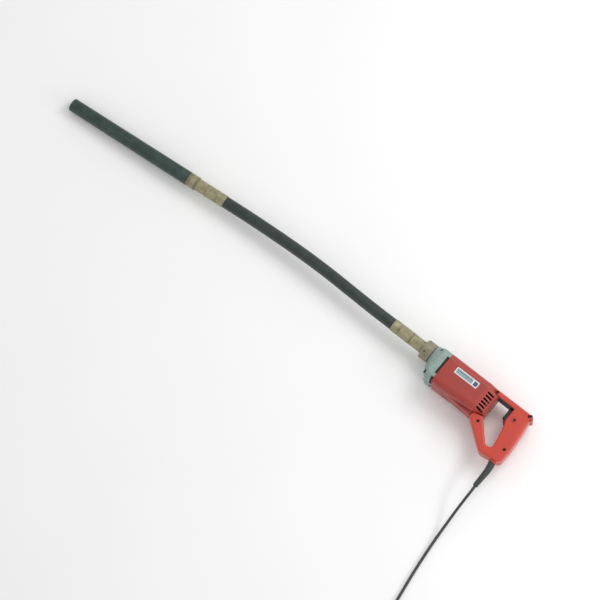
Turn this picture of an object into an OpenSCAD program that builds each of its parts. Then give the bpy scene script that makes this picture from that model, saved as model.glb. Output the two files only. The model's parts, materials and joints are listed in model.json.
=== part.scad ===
// Hand-held electric concrete vibrator. A geared motor with a loop handle turns a
// flexible shaft inside a rubber hose, which spins an eccentric rotor in a slim head.
// Everything is drawn about the motor's axis, with +X to the rear and the origin at the
// casing's front edge, then laid on its side on the ground.

/* [Vibrating head] */
// Diameter of the head where it meets its collar
head_root_d = 36; // [32:0.5:44]
// Diameter of the head at its tip
head_tip_d = 34; // [31:0.5:42]
// Length of the head from collar to tip
head_len = 357; // [250:1:450]
// Bore of the head tube, which holds the rotor bearings
head_bore_d = 28; // [24:0.5:28]
// Length of the solid tip plug
tip_len = 42; // [20:1:60]
// Length of the wide collar behind the head
collar_len = 25; // [15:1:40]
// Length of the sleeve crimped on the hose
head_sleeve_len = 85; // [60:1:110]
// Diameter of the rotor's eccentric body
eccentric_d = 23; // [16:0.5:25]

/* [Hose] */
// Outer diameter of the rubber hose
hose_d = 30.5; // [29:0.5:38]
// Bore of the rubber hose
hose_bore_d = 16; // [14:0.5:20]
// Diameter of the hose ends that are turned down inside the ferrules
hose_end_d = 27; // [24:0.5:28]
// Visible length of the hose between its two ferrules
hose_len = 533; // [420:1:900]
// Distance from the drive ferrule to the first bend
first_bend = 80; // [40:1:120]
// Spacing of the three bends
bend_pitch = 170; // [100:1:180]
// Diameter of the flexible shaft
core_d = 10; // [8:0.5:12]

/* [Coupling] */
// Outer diameter of the coupling nut
nut_d = 52; // [48:0.5:64]
// Length of the coupling nut
nut_len = 28.5; // [20:0.5:40]
// Diameter of the drive ferrule's body
ferrule_d = 33.5; // [32:0.5:40]
// Length of the two-banded crimp ferrule
ferrule_len = 58; // [40:1:90]
// Length of the coupler between the crimp ferrule and the nut
coupler_len = 40; // [30:1:60]

/* [Motor casing] */
// Height of the casing, from the grip side to the top
casing_h = 91; // [85:1:115]
// Depth of the casing, from side to side
casing_depth = 88; // [82:1:115]
// Radius of the casing's four long corners
casing_r = 18; // [10:0.5:22]
// Length of the casing
casing_len = 157; // [150:1:200]
// Wall of the casing
casing_wall = 3; // [2:0.5:5]
// Length of the cast gear cover with its skirt
cover_len = 45; // [40:1:60]
// Width of each cooling slot between cover and casing
slot_w = 6.5; // [4:0.5:8]
// Thickness of the gear plate
gear_plate_t = 7; // [5:0.5:9]

/* [Drive] */
// Distance from the motor's axis to the spindle's axis
spindle_offset = 19; // [19:1:24]
// Teeth on the motor pinion
pinion_teeth = 12; // [10:1:16]
// Diameter of the armature shaft at its bearings
shaft_d = 8; // [6:0.5:9]
// Diameter of the spindle at its front bearing
spindle_d = 12; // [10:0.5:14]
// Diameter of the armature's laminated core
armature_d = 50; // [40:1:56]
// Length of the laminated cores
core_len = 50; // [30:1:56]
// Gap between the armature and the stator poles
air_gap = 0.6; // [0.4:0.1:1.5]
// Diameter of the cooling fan
fan_d = 72; // [56:1:76]

/* [Handle] */
// Thickness of the loop handle, both halves together
handle_t = 40; // [34:1:50]
// Wall of the handle halves
handle_wall = 3; // [2:0.5:4]
// Height of the trigger
trigger_h = 34; // [24:1:38]
// Travel of the trigger
trigger_travel = 6; // [3:0.5:8]
// Diameter of the lock-on button
button_d = 7; // [5:0.5:10]
// Travel of the lock-on button
button_travel = 3; // [2:0.5:4]

/* [Cord] */
// Diameter of the mains cord
cord_d = 7.5; // [6:0.5:9]
// Length of the rubber boot outside the handle
boot_len = 77; // [50:1:100]
// Diameter of the boot where it leaves the handle
boot_root_d = 19; // [16:0.5:24]
// Diameter of the boot at its tip
boot_tip_d = 12.5; // [11:0.5:14]
// Spacing of the plug's two pins
pin_pitch = 19; // [17:0.5:22]
// Diameter of the plug's pins
pin_d = 4.8; // [4:0.1:5]

/* [Fits] */
// Radial clearance of a shaft that runs in a bearing
run_clear = 0.04; // [0.02:0.01:0.08]
// Clearance between pieces that slide or drop into each other
fit_clear = 0.2; // [0.1:0.05:0.5]
// Clearance between a pressed button or trigger and its opening
slide_clear = 0.5; // [0.3:0.1:1]
// Largest angle of each of the three hose bends
bend_angle = 15; // [5:1:20]

/* [Hidden] */
$fn = 64;

// Stations along the motor's axis, from the nut to the rear bearing
slot_end = 2;
skirt_end = slot_end - slot_w;
cover_front = slot_end - cover_len;
nut_front = cover_front - nut_len;
nose_len = 11;
nose_d = nut_d - 10;
seat_end = cover_front + 12;
gear_x = seat_end + 6;
spindle_nose = cover_front - 15;
spindle_nose_d = spindle_d + 6;
gear_w = 10;
plate_front = skirt_end - gear_plate_t;
fan_x = slot_end - 1;
fan_len = 13;
core_x = slot_end + 26;
core_end = core_x + core_len;
commutator_x = core_end + 14;
commutator_len = 16;
commutator_d = 32;
rear_bearing_x = commutator_x + commutator_len + 8;
rest_x = 30;

// Bearings as [bore, outside diameter, width]
spindle_bearing = [spindle_d, 32, 10];
spindle_tail_d = 6;
spindle_rear = [spindle_tail_d, 13, 5];
armature_front = [shaft_d, 22, gear_plate_t];
armature_rear = [shaft_d - 1, 19, 6];
rotor_journal_d = 12;
rotor_bearing = [rotor_journal_d, head_bore_d, 8];

// The field around the armature, and the two brushes on the commutator
stator_bore = armature_d + 2 * air_gap;
stator_d = min(casing_h, casing_depth) - 2 * casing_wall - 0.2;
coil_in = stator_bore / 2 + 2.5;
coil_out = coil_in + 8;
holder_in = commutator_d / 2 + 2;
holder_out = holder_in + 19;
brush_x = commutator_x + 4;
brush_w = 8;
brush_z = 6.4;

// Gears of one module, whose pitch circles touch
gear_teeth = 2 * spindle_offset - pinion_teeth;
pressure_angle = 20;
backlash = 0.3;

// The casing closes in behind this station
flat_len = slot_end + 52;
full_len = casing_len - 29;
tail_h = 76;
rest_side = -casing_depth / 2;

// Screws that hold cover, gear plate, baffle and casing together
screw_d = 5;
screw_y = casing_h / 2 - casing_r + 6.4;
screw_z = casing_depth / 2 - casing_r + 6.4;
screw_seat = skirt_end - 19.5;
corner_signs = [[1, 1], [1, -1], [-1, 1], [-1, -1]];
corner_steps = 9;
ring_signs = [[1, -1], [-1, -1], [-1, 1], [1, 1]];

// The loop handle, from the casing's rear wall
bar_top = 46.8;
bar_under = 31.5;
bar_front = casing_len - 21;
leg_front = casing_len - 29;
grip_x = casing_len + 49;
trigger_top = bar_under - 0.6;
trigger_bottom = trigger_top - trigger_h;
boot_start = [casing_len + 89, -104.5, 0];
boot_lean = [5, -78.5, -4];
boot_dir = boot_lean / norm(boot_lean);
boot_end = boot_start + boot_dir * boot_len;
button_at = [casing_len + 68, 9.4];
handle_screw_at = [
    [bar_front + 10.5, 39.2], [casing_len - 2, -49.2], [casing_len + 91, 40],
    [casing_len + 96, -66.3]
];
switch_x = grip_x + 10;
switch_len = 32;
switch_half = 9.5;

// The mains cord's route on the ground, by hand
ground = rest_side + cord_d / 2;
cord_route = [
    boot_end, boot_end + boot_dir * 16, [251.5, -218, -8.5], [251.5, -240, -14],
    [251.5, -262, -20.5], [252, -284, -27], [252.5, -306, -32.5], [253.5, -328, -36.5],
    [255, -350, -39], [257, -372, ground], [259.5, -394, ground], [262, -416, ground],
    [265, -438, ground], [268, -460, ground], [271.5, -482, ground], [275, -504, ground],
    [278.5, -526, ground], [282, -548, ground], [285.5, -568, ground],
    [288.5, -588, ground], [290.5, -610, ground]
];
coil_centre = [344, -610];
coil_columns = 4;
coil_layers = 2;
coil_mean_r = 42;
coil_top = rest_side + (coil_layers - 0.5) * cord_d;
plug_z = rest_side + 13;
plug_at = [398, -552, plug_z];
tail_route = [
    [397.25, -610, coil_top], [397.5, -596, coil_top], [397.8, -582, coil_top + 0.6],
    [398, -568, plug_z - 0.3], plug_at
];

// Hose bends: each stretch runs from one bend to the next, towards the head
ferrule_end = nut_front - coupler_len - ferrule_len;
bend_headings = [1.6, -2.4, -4.6];
bend_drops = [0.6, 2.1];
function towards(heading, drop) =
    [-cos(drop) * cos(heading), cos(drop) * sin(heading), -sin(drop)];
bend_1 = [ferrule_end - first_bend, spindle_offset, 0];
bend_2 = bend_1 + bend_pitch * towards(bend_headings[0], bend_drops[0]);
bend_3 = bend_2 + bend_pitch * towards(bend_headings[1], bend_drops[1]);
front_hose = hose_len - first_bend - 2 * bend_pitch;
head_start = front_hose + head_sleeve_len + collar_len;
head_end = head_start + head_len;
last_drop = asin((bend_3.z - rest_side - head_tip_d / 2) / head_end);
head_point = bend_3 + head_end * towards(bend_headings[2], last_drop);
largest_bend = bend_angle + bend_headings[0] - bend_headings[1];
bend_gap = hose_d * tan(largest_bend / 2) + 1;
core_gap = core_d * tan(largest_bend / 2) + 1;
hose_grip = 62;
rotor_start = head_start + 18;

module lay_down() {
    translate([-rest_x, 0, -rest_side]) children();
}

module on_spindle() {
    translate([0, spindle_offset, 0]) children();
}

// Puts local +X along the line from q back to p, with the origin at p
module along(p, q) {
    u = (p - q) / norm(p - q);
    translate(p) rotate([0, -asin(u.z), atan2(u.y, u.x)]) children();
}

module rod(x0, x1, d) {
    translate([x0, 0, 0]) rotate([0, 90, 0]) cylinder(h = x1 - x0, d = d);
}

module taper(x0, x1, d0, d1) {
    translate([x0, 0, 0]) rotate([0, 90, 0]) cylinder(h = x1 - x0, d1 = d0, d2 = d1);
}

module pipe(x0, x1, d_out, d_in) {
    difference() {
        rod(x0, x1, d_out);
        rod(x0 - 1, x1 + 1, d_in);
    }
}

// Extrudes a YZ outline along X
module across(x0, x1) {
    translate([x0, 0, 0]) rotate([90, 0, 90]) linear_extrude(x1 - x0) children();
}

// Extrudes an XY outline along Z
module slab(z0, z1) {
    translate([0, 0, z0]) linear_extrude(z1 - z0) children();
}

module block(low, high) {
    translate(low) cube(high - low);
}

module rounded_box_outline(h, w, r) {
    square([h - 2 * r, w], center = true);
    square([h, w - 2 * r], center = true);
    for (s = corner_signs)
        translate([s.x * (h / 2 - r), s.y * (w / 2 - r)]) circle(r);
}

module casing_outline(inset) {
    rounded_box_outline(casing_h - 2 * inset, casing_depth - 2 * inset, casing_r - inset);
}

module bearing(x0, sizes) {
    pipe(x0, x0 + sizes[2], sizes[1], sizes[0] + 2 * run_clear);
}

// A closed skin of flat faces over rings of equally many points
module skin(rings) {
    n = len(rings);
    sides = len(rings[0]);
    points = [for (ring = rings) each ring];
    walls = [
        for (i = [0:n - 2]) for (k = [0:sides - 1])
            let (j = (k + 1) % sides, here = i * sides, next = here + sides)
            each [[here + k, next + j, next + k], [here + k, here + j, next + j]]
    ];
    first = [for (k = [0:sides - 1]) sides - 1 - k];
    last = [for (k = [0:sides - 1]) (n - 1) * sides + k];
    polyhedron(points, concat(walls, [first], [last]), convexity = 10);
}

function path_dir(path, i) =
    let (a = path[max(i - 1, 0)], b = path[min(i + 1, len(path) - 1)]) (b - a) / norm(b - a);

// A round tube of flat sides swept along a list of points
module sweep(path, d, sides, up) {
    skin([
        for (i = [0:len(path) - 1])
            let (t = path_dir(path, i), s = cross(t, up), side = s / norm(s), top = cross(side, t))
            [for (k = [0:sides - 1])
                path[i] + d / 2 * (cos(360 * k / sides) * side + sin(360 * k / sides) * top)]
    ]);
}

function helix(x0, x1, d, turns, steps) =
    [for (i = [0:turns * steps])
        let (a = 360 * i / steps)
        [x0 + (x1 - x0) * i / (turns * steps), d / 2 * cos(a), d / 2 * sin(a)]];

// Involute gear outline of module 1, with short tips that clear the pinion's roots
function involute(a) = tan(a) - a * PI / 180;
function tooth_half_angle(r, teeth) =
    let (base = teeth / 2 * cos(pressure_angle), a = r > base ? acos(base / r) : 0)
    (PI / 2 - backlash / 2) / teeth * 180 / PI
        + (involute(pressure_angle) - involute(a)) * 180 / PI;

module gear_outline(teeth) {
    root = teeth / 2 - 1.25;
    tip = teeth / 2 + 0.8;
    radii = [for (k = [0:4]) root + 0.1 + (tip - root - 0.1) * k / 4];
    flank = [for (r = radii) [r, tooth_half_angle(r, teeth)]];
    side = concat([for (f = flank) [f[0], -f[1]]], [for (k = [4:-1:0]) flank[k]]);
    polygon([
        for (i = [0:teeth - 1]) for (p = side)
            let (a = p[1] + 360 * i / teeth) p[0] * [cos(a), sin(a)]
    ]);
}

// ---- Motor casing and gear end ----

// One ring around the casing, level with its top, drawn in by the given wall
function casing_ring(x, h, w, r, inset) = [
    for (c = [0:3]) for (k = [0:corner_steps])
        let (a = 90 * (c + k / corner_steps), s = ring_signs[c])
        [x, (casing_h - h) / 2 + s.x * (h / 2 - r) + (r - inset) * cos(a),
            s.y * (w / 2 - r) - (r - inset) * sin(a)]
];

// The casing's outer shape, or its inner shape when it is drawn in by a wall
module casing_shape(front, inset) {
    skin([
        casing_ring(front, casing_h, casing_depth, casing_r, inset),
        casing_ring(flat_len, casing_h, casing_depth, casing_r, inset),
        casing_ring(full_len, casing_h - 5, casing_depth, casing_r, inset),
        casing_ring(casing_len - 12 - inset / 2, tail_h + 2, casing_depth - 20, casing_r, inset),
        casing_ring(casing_len - inset, tail_h, handle_t + 4, 8, inset)
    ]);
}

module vents() {
    pitch = 9.3;
    for (i = [0:5], s = [-1, 1])
        block([full_len + (i == 5 ? 6 : 3), 18 - i * pitch, min(s * 20, s * casing_depth)],
            [full_len + 21, 22.5 - i * pitch, max(s * 20, s * casing_depth)]);
}

module keel_outline() {
    polygon([[flat_len, -casing_h / 2 + 4], [flat_len, -casing_h / 2], [leg_front, -50.5],
        [leg_front, -36]]);
}

module lug_outlines() {
    polygon([[bar_front - 2, 34.7], [bar_front + 20, 34.7], [bar_front + 20, 43.6],
        [bar_front - 2, 43.6]]);
    polygon([[leg_front - 2, -47.3], [leg_front - 2, -40.5], [casing_len - 4, -36],
        [casing_len + 9, -48], [casing_len + 2, -58]]);
}

// The corner left out beside the handle's arm, so that its screw can be reached
module arm_notch(s, grown) {
    side = handle_t / 2 - grown;
    low = [bar_front + 3.5 - grown, bar_under - 1.3 - grown, s > 0 ? side : -casing_depth];
    block(low, [casing_len + 1, casing_h, s > 0 ? casing_depth : -side]);
}

module motor_casing() {
    rear_web = rear_bearing_x + armature_rear[2];
    color("firebrick") lay_down() difference() {
        union() {
            difference() {
                union() {
                    casing_shape(slot_end, 0);
                    slab(-handle_t / 2, handle_t / 2) keel_outline();
                }
                difference() {
                    casing_shape(slot_end - 1, casing_wall);
                    for (s = corner_signs)
                        translate([0, s.x * screw_y, s.y * screw_z])
                            rod(slot_end, core_x - 3, 12);
                    pipe(rear_bearing_x - 1, rear_web + 2, armature_rear[1] + 10,
                        armature_rear[1] + 4);
                    rod(rear_web, rear_web + 2, armature_rear[1] + 10);
                    for (a = [0, 90]) rotate([a, 0, 0])
                        block([rear_web - 2, -casing_h, -3], [rear_web + 2, casing_h, 3]);
                    for (s = [-1, 1]) arm_notch(s, casing_wall);
                }
                for (s = [-1, 1]) arm_notch(s, 0);
                rod(rear_bearing_x - 2, rear_web, armature_rear[1] + 4);
                rod(rear_web - 1, rear_web + 3, armature_rear[0] + 4);
                vents();
                slab(-handle_t / 2 - fit_clear, handle_t / 2 + fit_clear)
                    offset(delta = fit_clear) handle_outline();
            }
            slab(-5, 5) lug_outlines();
        }
        for (s = corner_signs)
            translate([0, s.x * screw_y, s.y * screw_z])
                rod(slot_end - 1, slot_end + 18, screw_d);
        for (i = [0, 1])
            translate(handle_screw_at[i]) cylinder(h = 20, d = 5.4, center = true);
    }
}

module gear_cover() {
    gear_room = gear_teeth + 4;
    pinion_room = pinion_teeth + 5;
    color("#9fb0ab") lay_down() difference() {
        union() {
            hull() {
                on_spindle() rod(cover_front, cover_front + 5, nut_d + 4, $fn = 32);
                translate([0, 8, 0]) rod(cover_front + 10, cover_front + 11, 78, $fn = 32);
                across(cover_front + 22, cover_front + 23) casing_outline(0, $fn = 32);
            }
            across(cover_front + 22, slot_end) casing_outline(0);
            on_spindle() rod(cover_front - nose_len, cover_front + 5, nose_d);
        }
        on_spindle() {
            rod(cover_front - nose_len - 1, cover_front + 3, 26);
            rod(seat_end - spindle_bearing[2], seat_end + 1, spindle_bearing[1]);
            rod(seat_end, plate_front + 1, gear_room);
        }
        rod(seat_end + 3, plate_front + 1, pinion_room);
        across(plate_front, slot_end + 1) casing_outline(6.4);
        across(skirt_end, slot_end + 1) casing_outline(3.9);
        cooling_slots();
        for (s = corner_signs)
            translate([0, s.x * screw_y, s.y * screw_z]) {
                rod(cover_front - 1, screw_seat, 11);
                rod(screw_seat - 1, slot_end, screw_d + 0.6);
            }
    }
}

module cooling_slots() {
    block([skirt_end, -24, -casing_depth], [slot_end + 1, 29.6, casing_depth]);
    difference() {
        block([skirt_end, -casing_h, -casing_depth], [slot_end + 1, -38, casing_depth]);
        block([skirt_end - 1, -casing_h, -6], [slot_end + 2, casing_h, 6]);
    }
    block([skirt_end, 39, -20], [slot_end + 1, casing_h, 20]);
}

module gear_plate() {
    color("silver") lay_down() difference() {
        across(plate_front, skirt_end) casing_outline(6.4 + fit_clear);
        rod(plate_front - 1, skirt_end + 1, armature_front[1]);
        on_spindle() {
            rod(plate_front - 1, plate_front + spindle_rear[2], spindle_rear[1]);
            rod(plate_front, skirt_end + 1, 8);
        }
        for (s = corner_signs)
            translate([0, s.x * screw_y, s.y * screw_z])
                rod(plate_front - 1, skirt_end + 1, screw_d + 0.6);
    }
}

module baffle_ring() {
    color("#1c1d1d") lay_down() difference() {
        across(skirt_end, slot_end) casing_outline(3.9 + fit_clear);
        rod(skirt_end - 1, slot_end + 1, fan_d + 3);
        for (s = corner_signs)
            translate([0, s.x * screw_y, s.y * screw_z])
                rod(skirt_end - 1, slot_end + 1, screw_d + 0.6);
    }
}

module socket_screw(head_d, head_h, d, length) {
    difference() {
        rod(-head_h, 0, head_d);
        rotate([0, 90, 0]) translate([0, 0, -head_h - 1])
            cylinder(h = 4, d = head_d / 2, $fn = 6);
    }
    rod(-0.1, length, d);
}

module cover_screws() {
    color("#4a4c4c") lay_down()
        for (s = corner_signs)
            translate([screw_seat, s.x * screw_y, s.y * screw_z])
                socket_screw(9, 5, screw_d, slot_end + 17 - screw_seat);
}

module coupling_nut() {
    flange_end = cover_front - nose_len;
    color("#7d7861") lay_down() on_spindle() difference() {
        union() {
            taper(nut_front, nut_front + 3, nut_d - 6, nut_d);
            rod(nut_front + 3, cover_front - 1.5, nut_d);
            taper(cover_front - 1.5, cover_front, nut_d, nut_d - 3);
        }
        rod(flange_end - 8, cover_front + 1, nose_d);
        rod(nut_front - 1, cover_front, ferrule_d + 1);
        for (a = [115, 295]) rotate([a, 0, 0])
            translate([nut_front + 9, nut_d / 2 - 3, 0]) rotate([-90, 0, 0]) cylinder(h = 6, d = 5);
    }
}

module drive_coupler() {
    flange_end = cover_front - nose_len;
    start = nut_front - coupler_len;
    color("#8f8a6a") lay_down() on_spindle() difference() {
        union() {
            rod(start, start + 2, ferrule_d - 2.5);
            taper(start + 2, flange_end - 3, ferrule_d, ferrule_d + 1);
            rod(flange_end - 8, flange_end, nose_d - fit_clear);
        }
        rod(start - 1, flange_end + 1, hose_bore_d);
        rod(spindle_nose - 2, flange_end + 1, spindle_nose_d + 2);
    }
}

module drive_ferrule() {
    start = ferrule_end;
    end = ferrule_end + ferrule_len;
    color("#948e6c") lay_down() on_spindle() difference() {
        union() {
            rod(start, start + 20, ferrule_d - 0.5);
            rod(start + 20, start + 24, ferrule_d - 2.5);
            rod(start + 24, end, ferrule_d);
        }
        rod(start - 1, end + 1, hose_end_d);
    }
}

module rating_label() {
    color("#b9c0c6") lay_down()
        slab(casing_depth / 2, casing_depth / 2 + 0.5)
        translate([slot_end + 66, 15.5]) rounded_box_outline(70, 18, 1.5);
}

// ---- Spindle and armature ----

module spindle() {
    color("#b8babb") lay_down() on_spindle() difference() {
        union() {
            rod(spindle_nose, seat_end - spindle_bearing[2], spindle_nose_d);
            rod(seat_end - spindle_bearing[2], gear_x + gear_w, spindle_d);
            rod(seat_end + 0.5, gear_x, spindle_d + 3);
            rod(gear_x + gear_w, plate_front + spindle_rear[2], spindle_tail_d);
        }
        block([spindle_nose - 1, -4.1, -4.1], [cover_front - 1, 4.1, 4.1]);
    }
}

module spindle_gear() {
    color("#8d8f90") lay_down() on_spindle() difference() {
        across(gear_x, gear_x + gear_w)
            rotate(180 + 180 / gear_teeth) gear_outline(gear_teeth);
        rod(gear_x - 1, gear_x + gear_w + 1, spindle_d);
    }
}

module spindle_front_bearing() {
    color("#c9cccd") lay_down() on_spindle()
        bearing(seat_end - spindle_bearing[2], spindle_bearing);
}

module spindle_rear_bearing() {
    color("#c9cccd") lay_down() on_spindle() bearing(plate_front, spindle_rear);
}

module armature_shaft() {
    color("#b8babb") lay_down() {
        rod(gear_x - 1, skirt_end, shaft_d - 1);
        rod(plate_front, rear_bearing_x - 1, shaft_d);
        rod(rear_bearing_x - 1, rear_bearing_x + armature_rear[2], armature_rear[0]);
    }
}

module drive_pinion() {
    color("#8d8f90") lay_down() difference() {
        across(gear_x - 1, gear_x + gear_w + 1) gear_outline(pinion_teeth);
        rod(gear_x - 2, gear_x + gear_w + 2, shaft_d - 1);
    }
}

module armature_core() {
    slots = 12;
    color("#6e7072") lay_down() difference() {
        across(core_x, core_end) difference() {
            circle(d = armature_d);
            for (i = [0:slots - 1]) rotate(360 * i / slots)
                translate([armature_d / 2 - 7, -1]) square([8, 2]);
            circle(d = shaft_d);
        }
    }
}

module armature_windings() {
    color("#a5612f") lay_down() {
        pipe(core_x - 9, core_x, armature_d - 6, shaft_d + 4);
        pipe(core_end, commutator_x - 3, armature_d - 6, shaft_d + 4);
    }
}

module commutator() {
    bars = 24;
    color("#b87333") lay_down() difference() {
        union() {
            rod(commutator_x, commutator_x + commutator_len, commutator_d);
            rod(commutator_x - 3, commutator_x, commutator_d + 2);
        }
        rod(commutator_x - 4, commutator_x + commutator_len + 1, shaft_d);
        for (i = [0:bars - 1]) rotate([360 * i / bars, 0, 0])
            block([commutator_x + 1, commutator_d / 2 - 1, -0.25],
                [commutator_x + commutator_len + 1, commutator_d, 0.25]);
    }
}

module cooling_fan() {
    blades = 12;
    color("#2b2c2d") lay_down() {
        pipe(fan_x, fan_x + fan_len, 18, shaft_d);
        pipe(fan_x + fan_len - 2, fan_x + fan_len, fan_d, 16);
        for (i = [0:blades - 1]) rotate([360 * i / blades, 0, 0])
            block([fan_x + 1, 8, -0.9], [fan_x + fan_len - 1, fan_d / 2 - 0.5, 0.9]);
    }
}

module armature_front_bearing() {
    color("#c9cccd") lay_down() bearing(plate_front, armature_front);
}

module armature_rear_bearing() {
    color("#c9cccd") lay_down() bearing(rear_bearing_x, armature_rear);
}

module bearing_sleeve() {
    color("#202122") lay_down()
        pipe(rear_bearing_x, rear_bearing_x + armature_rear[2], armature_rear[1] + 4,
            armature_rear[1]);
}

// ---- Stator and brushes ----

// A wedge of the plane about +X of the given half angle
module wedge(half) {
    polygon([[0, 0], [99 * cos(half), 99 * sin(half)], [140, 0],
        [99 * cos(half), -99 * sin(half)]]);
}

module coil_zone(half) {
    for (side = [0, 180]) rotate(side) intersection() {
        difference() {
            circle(coil_out);
            circle(coil_in);
        }
        wedge(half);
    }
}

module stator_core() {
    color("#75777a") lay_down() across(core_x, core_end) difference() {
        circle(d = stator_d);
        circle(d = stator_bore);
        difference() {
            offset(delta = fit_clear) coil_zone(60);
            for (side = [0, 180]) rotate(side) wedge(40);
        }
    }
}

module stator_coils() {
    color("#b0652c") lay_down() difference() {
        across(core_x - 8, core_end + 8) coil_zone(60);
        across(core_x - 0.3, core_end + 0.3) coil_zone_core();
    }
}

module coil_zone_core() {
    for (side = [0, 180]) rotate(side) intersection() {
        circle(coil_out + 1);
        wedge(40.5);
    }
}

module at_each_brush() {
    for (s = [1, -1]) mirror([0, s == 1 ? 0 : 1, 0]) children();
}

module brush_holders() {
    color("#b08d3e") lay_down() at_each_brush() difference() {
        block([brush_x - 1.5, holder_in, -brush_z / 2 - 1.5],
            [brush_x + brush_w + 1.5, holder_out, brush_z / 2 + 1.5]);
        block([brush_x - 0.1, holder_in - 1, -brush_z / 2 - 0.1],
            [brush_x + brush_w + 0.1, holder_out - 1.5, brush_z / 2 + 0.1]);
    }
}

module carbon_brushes() {
    color("#2c2c2e") lay_down() at_each_brush()
        block([brush_x, commutator_d / 2 + 0.05, -brush_z / 2],
            [brush_x + brush_w, holder_in + 10, brush_z / 2]);
}

module brush_springs() {
    color("#c0c3c4") lay_down() at_each_brush()
        translate([brush_x + brush_w / 2, 0, 0]) rotate([0, 0, 90])
        sweep(helix(holder_in + 10.5, holder_out - 2, 5, 4, 10), 0.8, 6, [1, 0, 0]);
}

// ---- Handle ----

module handle_outline() {
    x = casing_len;
    polygon([
        [bar_front, bar_top], [x + 93, bar_top], [x + 100, 43], [x + 104.5, 36],
        [x + 99, 30.5], [x + 105, -14], [x + 108.5, -50], [x + 108.7, -94],
        [x + 100, -103], [x + 74, -105.5], [x + 58, -108.5], [x + 46, -107.5],
        [x + 9, -80], [leg_front, -50.5], [leg_front, -36], [x + 1, -31],
        [x + 14, -46], [x + 30.5, -64], [x + 48, -82.5], [x + 57, -84.5],
        [x + 65, -81], [x + 67.5, -74], [x + 63, -51], [x + 60, -35], [x + 54, -15],
        [grip_x, trigger_bottom - 2], [grip_x, bar_under], [bar_front, bar_under]
    ]);
}

module screw_bosses(d) {
    for (p = handle_screw_at) translate(p) circle(d = d);
}

module handle_shell() {
    opening = trigger_h / 2 + slide_clear;
    middle = trigger_bottom + trigger_h / 2;
    difference() {
        slab(0, handle_t / 2) handle_outline();
        difference() {
            slab(-1, handle_t / 2 - handle_wall) offset(delta = -handle_wall) handle_outline();
            slab(-1, handle_t / 2) {
                translate(handle_screw_at[2]) circle(d = 9);
                translate(handle_screw_at[3]) circle(d = 9);
            }
        }
        slab(-1, 5 + fit_clear) offset(delta = fit_clear) lug_outlines();
        block([grip_x - 9, middle - opening, -1], [grip_x + handle_wall + 1, middle + opening, 9.5]);
        along(boot_start, boot_end) rod(-6, 14, boot_root_d - 3);
    }
}

module handle_upper_half() {
    color("#c8402e") lay_down() difference() {
        handle_shell();
        for (p = handle_screw_at) translate(p) {
            translate([0, 0, -1]) cylinder(h = handle_t, d = 4.4);
            translate([0, 0, handle_t / 2 - 6]) cylinder(h = 7, d = 8.4);
        }
        translate(button_at) cylinder(h = handle_t, d = button_d + 2 * slide_clear);
    }
    color("#c8402e") lay_down() translate([button_at.x, button_at.y, handle_t / 2 - 1])
        difference() {
            cylinder(h = 2.5, d = button_d + 7);
            translate([0, 0, -1]) cylinder(h = 5, d = button_d + 2 * slide_clear);
        }
}

module handle_lower_half() {
    color("#b93a2a") lay_down() mirror([0, 0, 1]) difference() {
        handle_shell();
        for (p = handle_screw_at)
            translate([p.x, p.y, -1]) cylinder(h = handle_t / 2 - 2, d = 4);
    }
}

module handle_screws() {
    color("#54585a") lay_down()
        for (p = handle_screw_at)
            translate([p.x, p.y, handle_t / 2 - 6]) rotate([0, 90, 0])
                socket_screw(7.6, 2.6, 4, handle_t - 12);
}

module trigger() {
    color("#17191a") lay_down() difference() {
        union() {
            block([grip_x - 9.5, trigger_bottom, -9], [grip_x + 1, trigger_top, 9]);
            block([grip_x + 0.9, trigger_bottom + 10, -6], [switch_x - trigger_travel - 0.5,
                trigger_top - 8, 6]);
        }
        translate([0, trigger_bottom + trigger_h / 2, 0]) rod(grip_x - 4, grip_x + 20, 7);
    }
}

module trigger_spring() {
    color("#c0c3c4") lay_down() translate([0, trigger_bottom + trigger_h / 2, 0])
        sweep(helix(grip_x - 3.5, switch_x - 0.5, 5, 5, 10), 0.9, 6, [1, 0, 0]);
}

module switch_body() {
    color("#26282a") lay_down() difference() {
        block([switch_x, trigger_bottom - 4, -switch_half],
            [switch_x + switch_len, trigger_top - 3, switch_half]);
        translate([button_at.x, button_at.y, switch_half - button_travel - 1])
            cylinder(h = 20, d = button_d - 1);
    }
}

module lock_button() {
    shoulder = switch_half + button_travel + slide_clear;
    color("#3d1d18") lay_down() translate([button_at.x, button_at.y, 0]) {
        translate([0, 0, shoulder]) cylinder(h = handle_t / 2 + 3 - shoulder, d = button_d);
        translate([0, 0, switch_half + 0.1]) cylinder(h = button_travel + 1, d = button_d - 2);
    }
}

module noise_capacitor() {
    color("#2f5f8a") lay_down() translate([casing_len + 84, -20, 0])
        rotate([90, 0, 6]) cylinder(h = 28, d = 14);
}

// ---- Cord ----

module cord_clamp() {
    color("#2e3032") lay_down() along(boot_start, boot_end) difference() {
        block([12, -12, -6], [19, 12, cord_d / 2 + 3]);
        rod(11, 20, cord_d);
        block([11, -13, -7], [20, 13, 0]);
    }
}

module cord_inner_end() {
    color("#323434") lay_down() along(boot_start, boot_end) rod(-boot_len, 26, cord_d);
}

module cord_boot() {
    color("#2c2e2e") lay_down() along(boot_start, boot_end) difference() {
        union() {
            taper(-boot_len, -1, boot_tip_d, boot_root_d);
            rod(-1.1, 6, boot_root_d - 3);
            rod(handle_wall + 2, handle_wall + 5, boot_root_d + 2);
        }
        rod(-boot_len - 1, 12, cord_d);
    }
}

module mains_cord() {
    color("#323434") lay_down() sweep(cord_route, cord_d, 10, [0, 0, 1]);
}

module cord_coil() {
    width = coil_columns * cord_d;
    color("#323434") lay_down() translate([coil_centre.x, coil_centre.y, rest_side])
        rotate_extrude() translate([coil_mean_r - width / 2, 0])
        square([width, coil_layers * cord_d]);
}

module cord_tail() {
    color("#323434") lay_down() sweep(tail_route, cord_d, 10, [0, 0, 1]);
}

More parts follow.
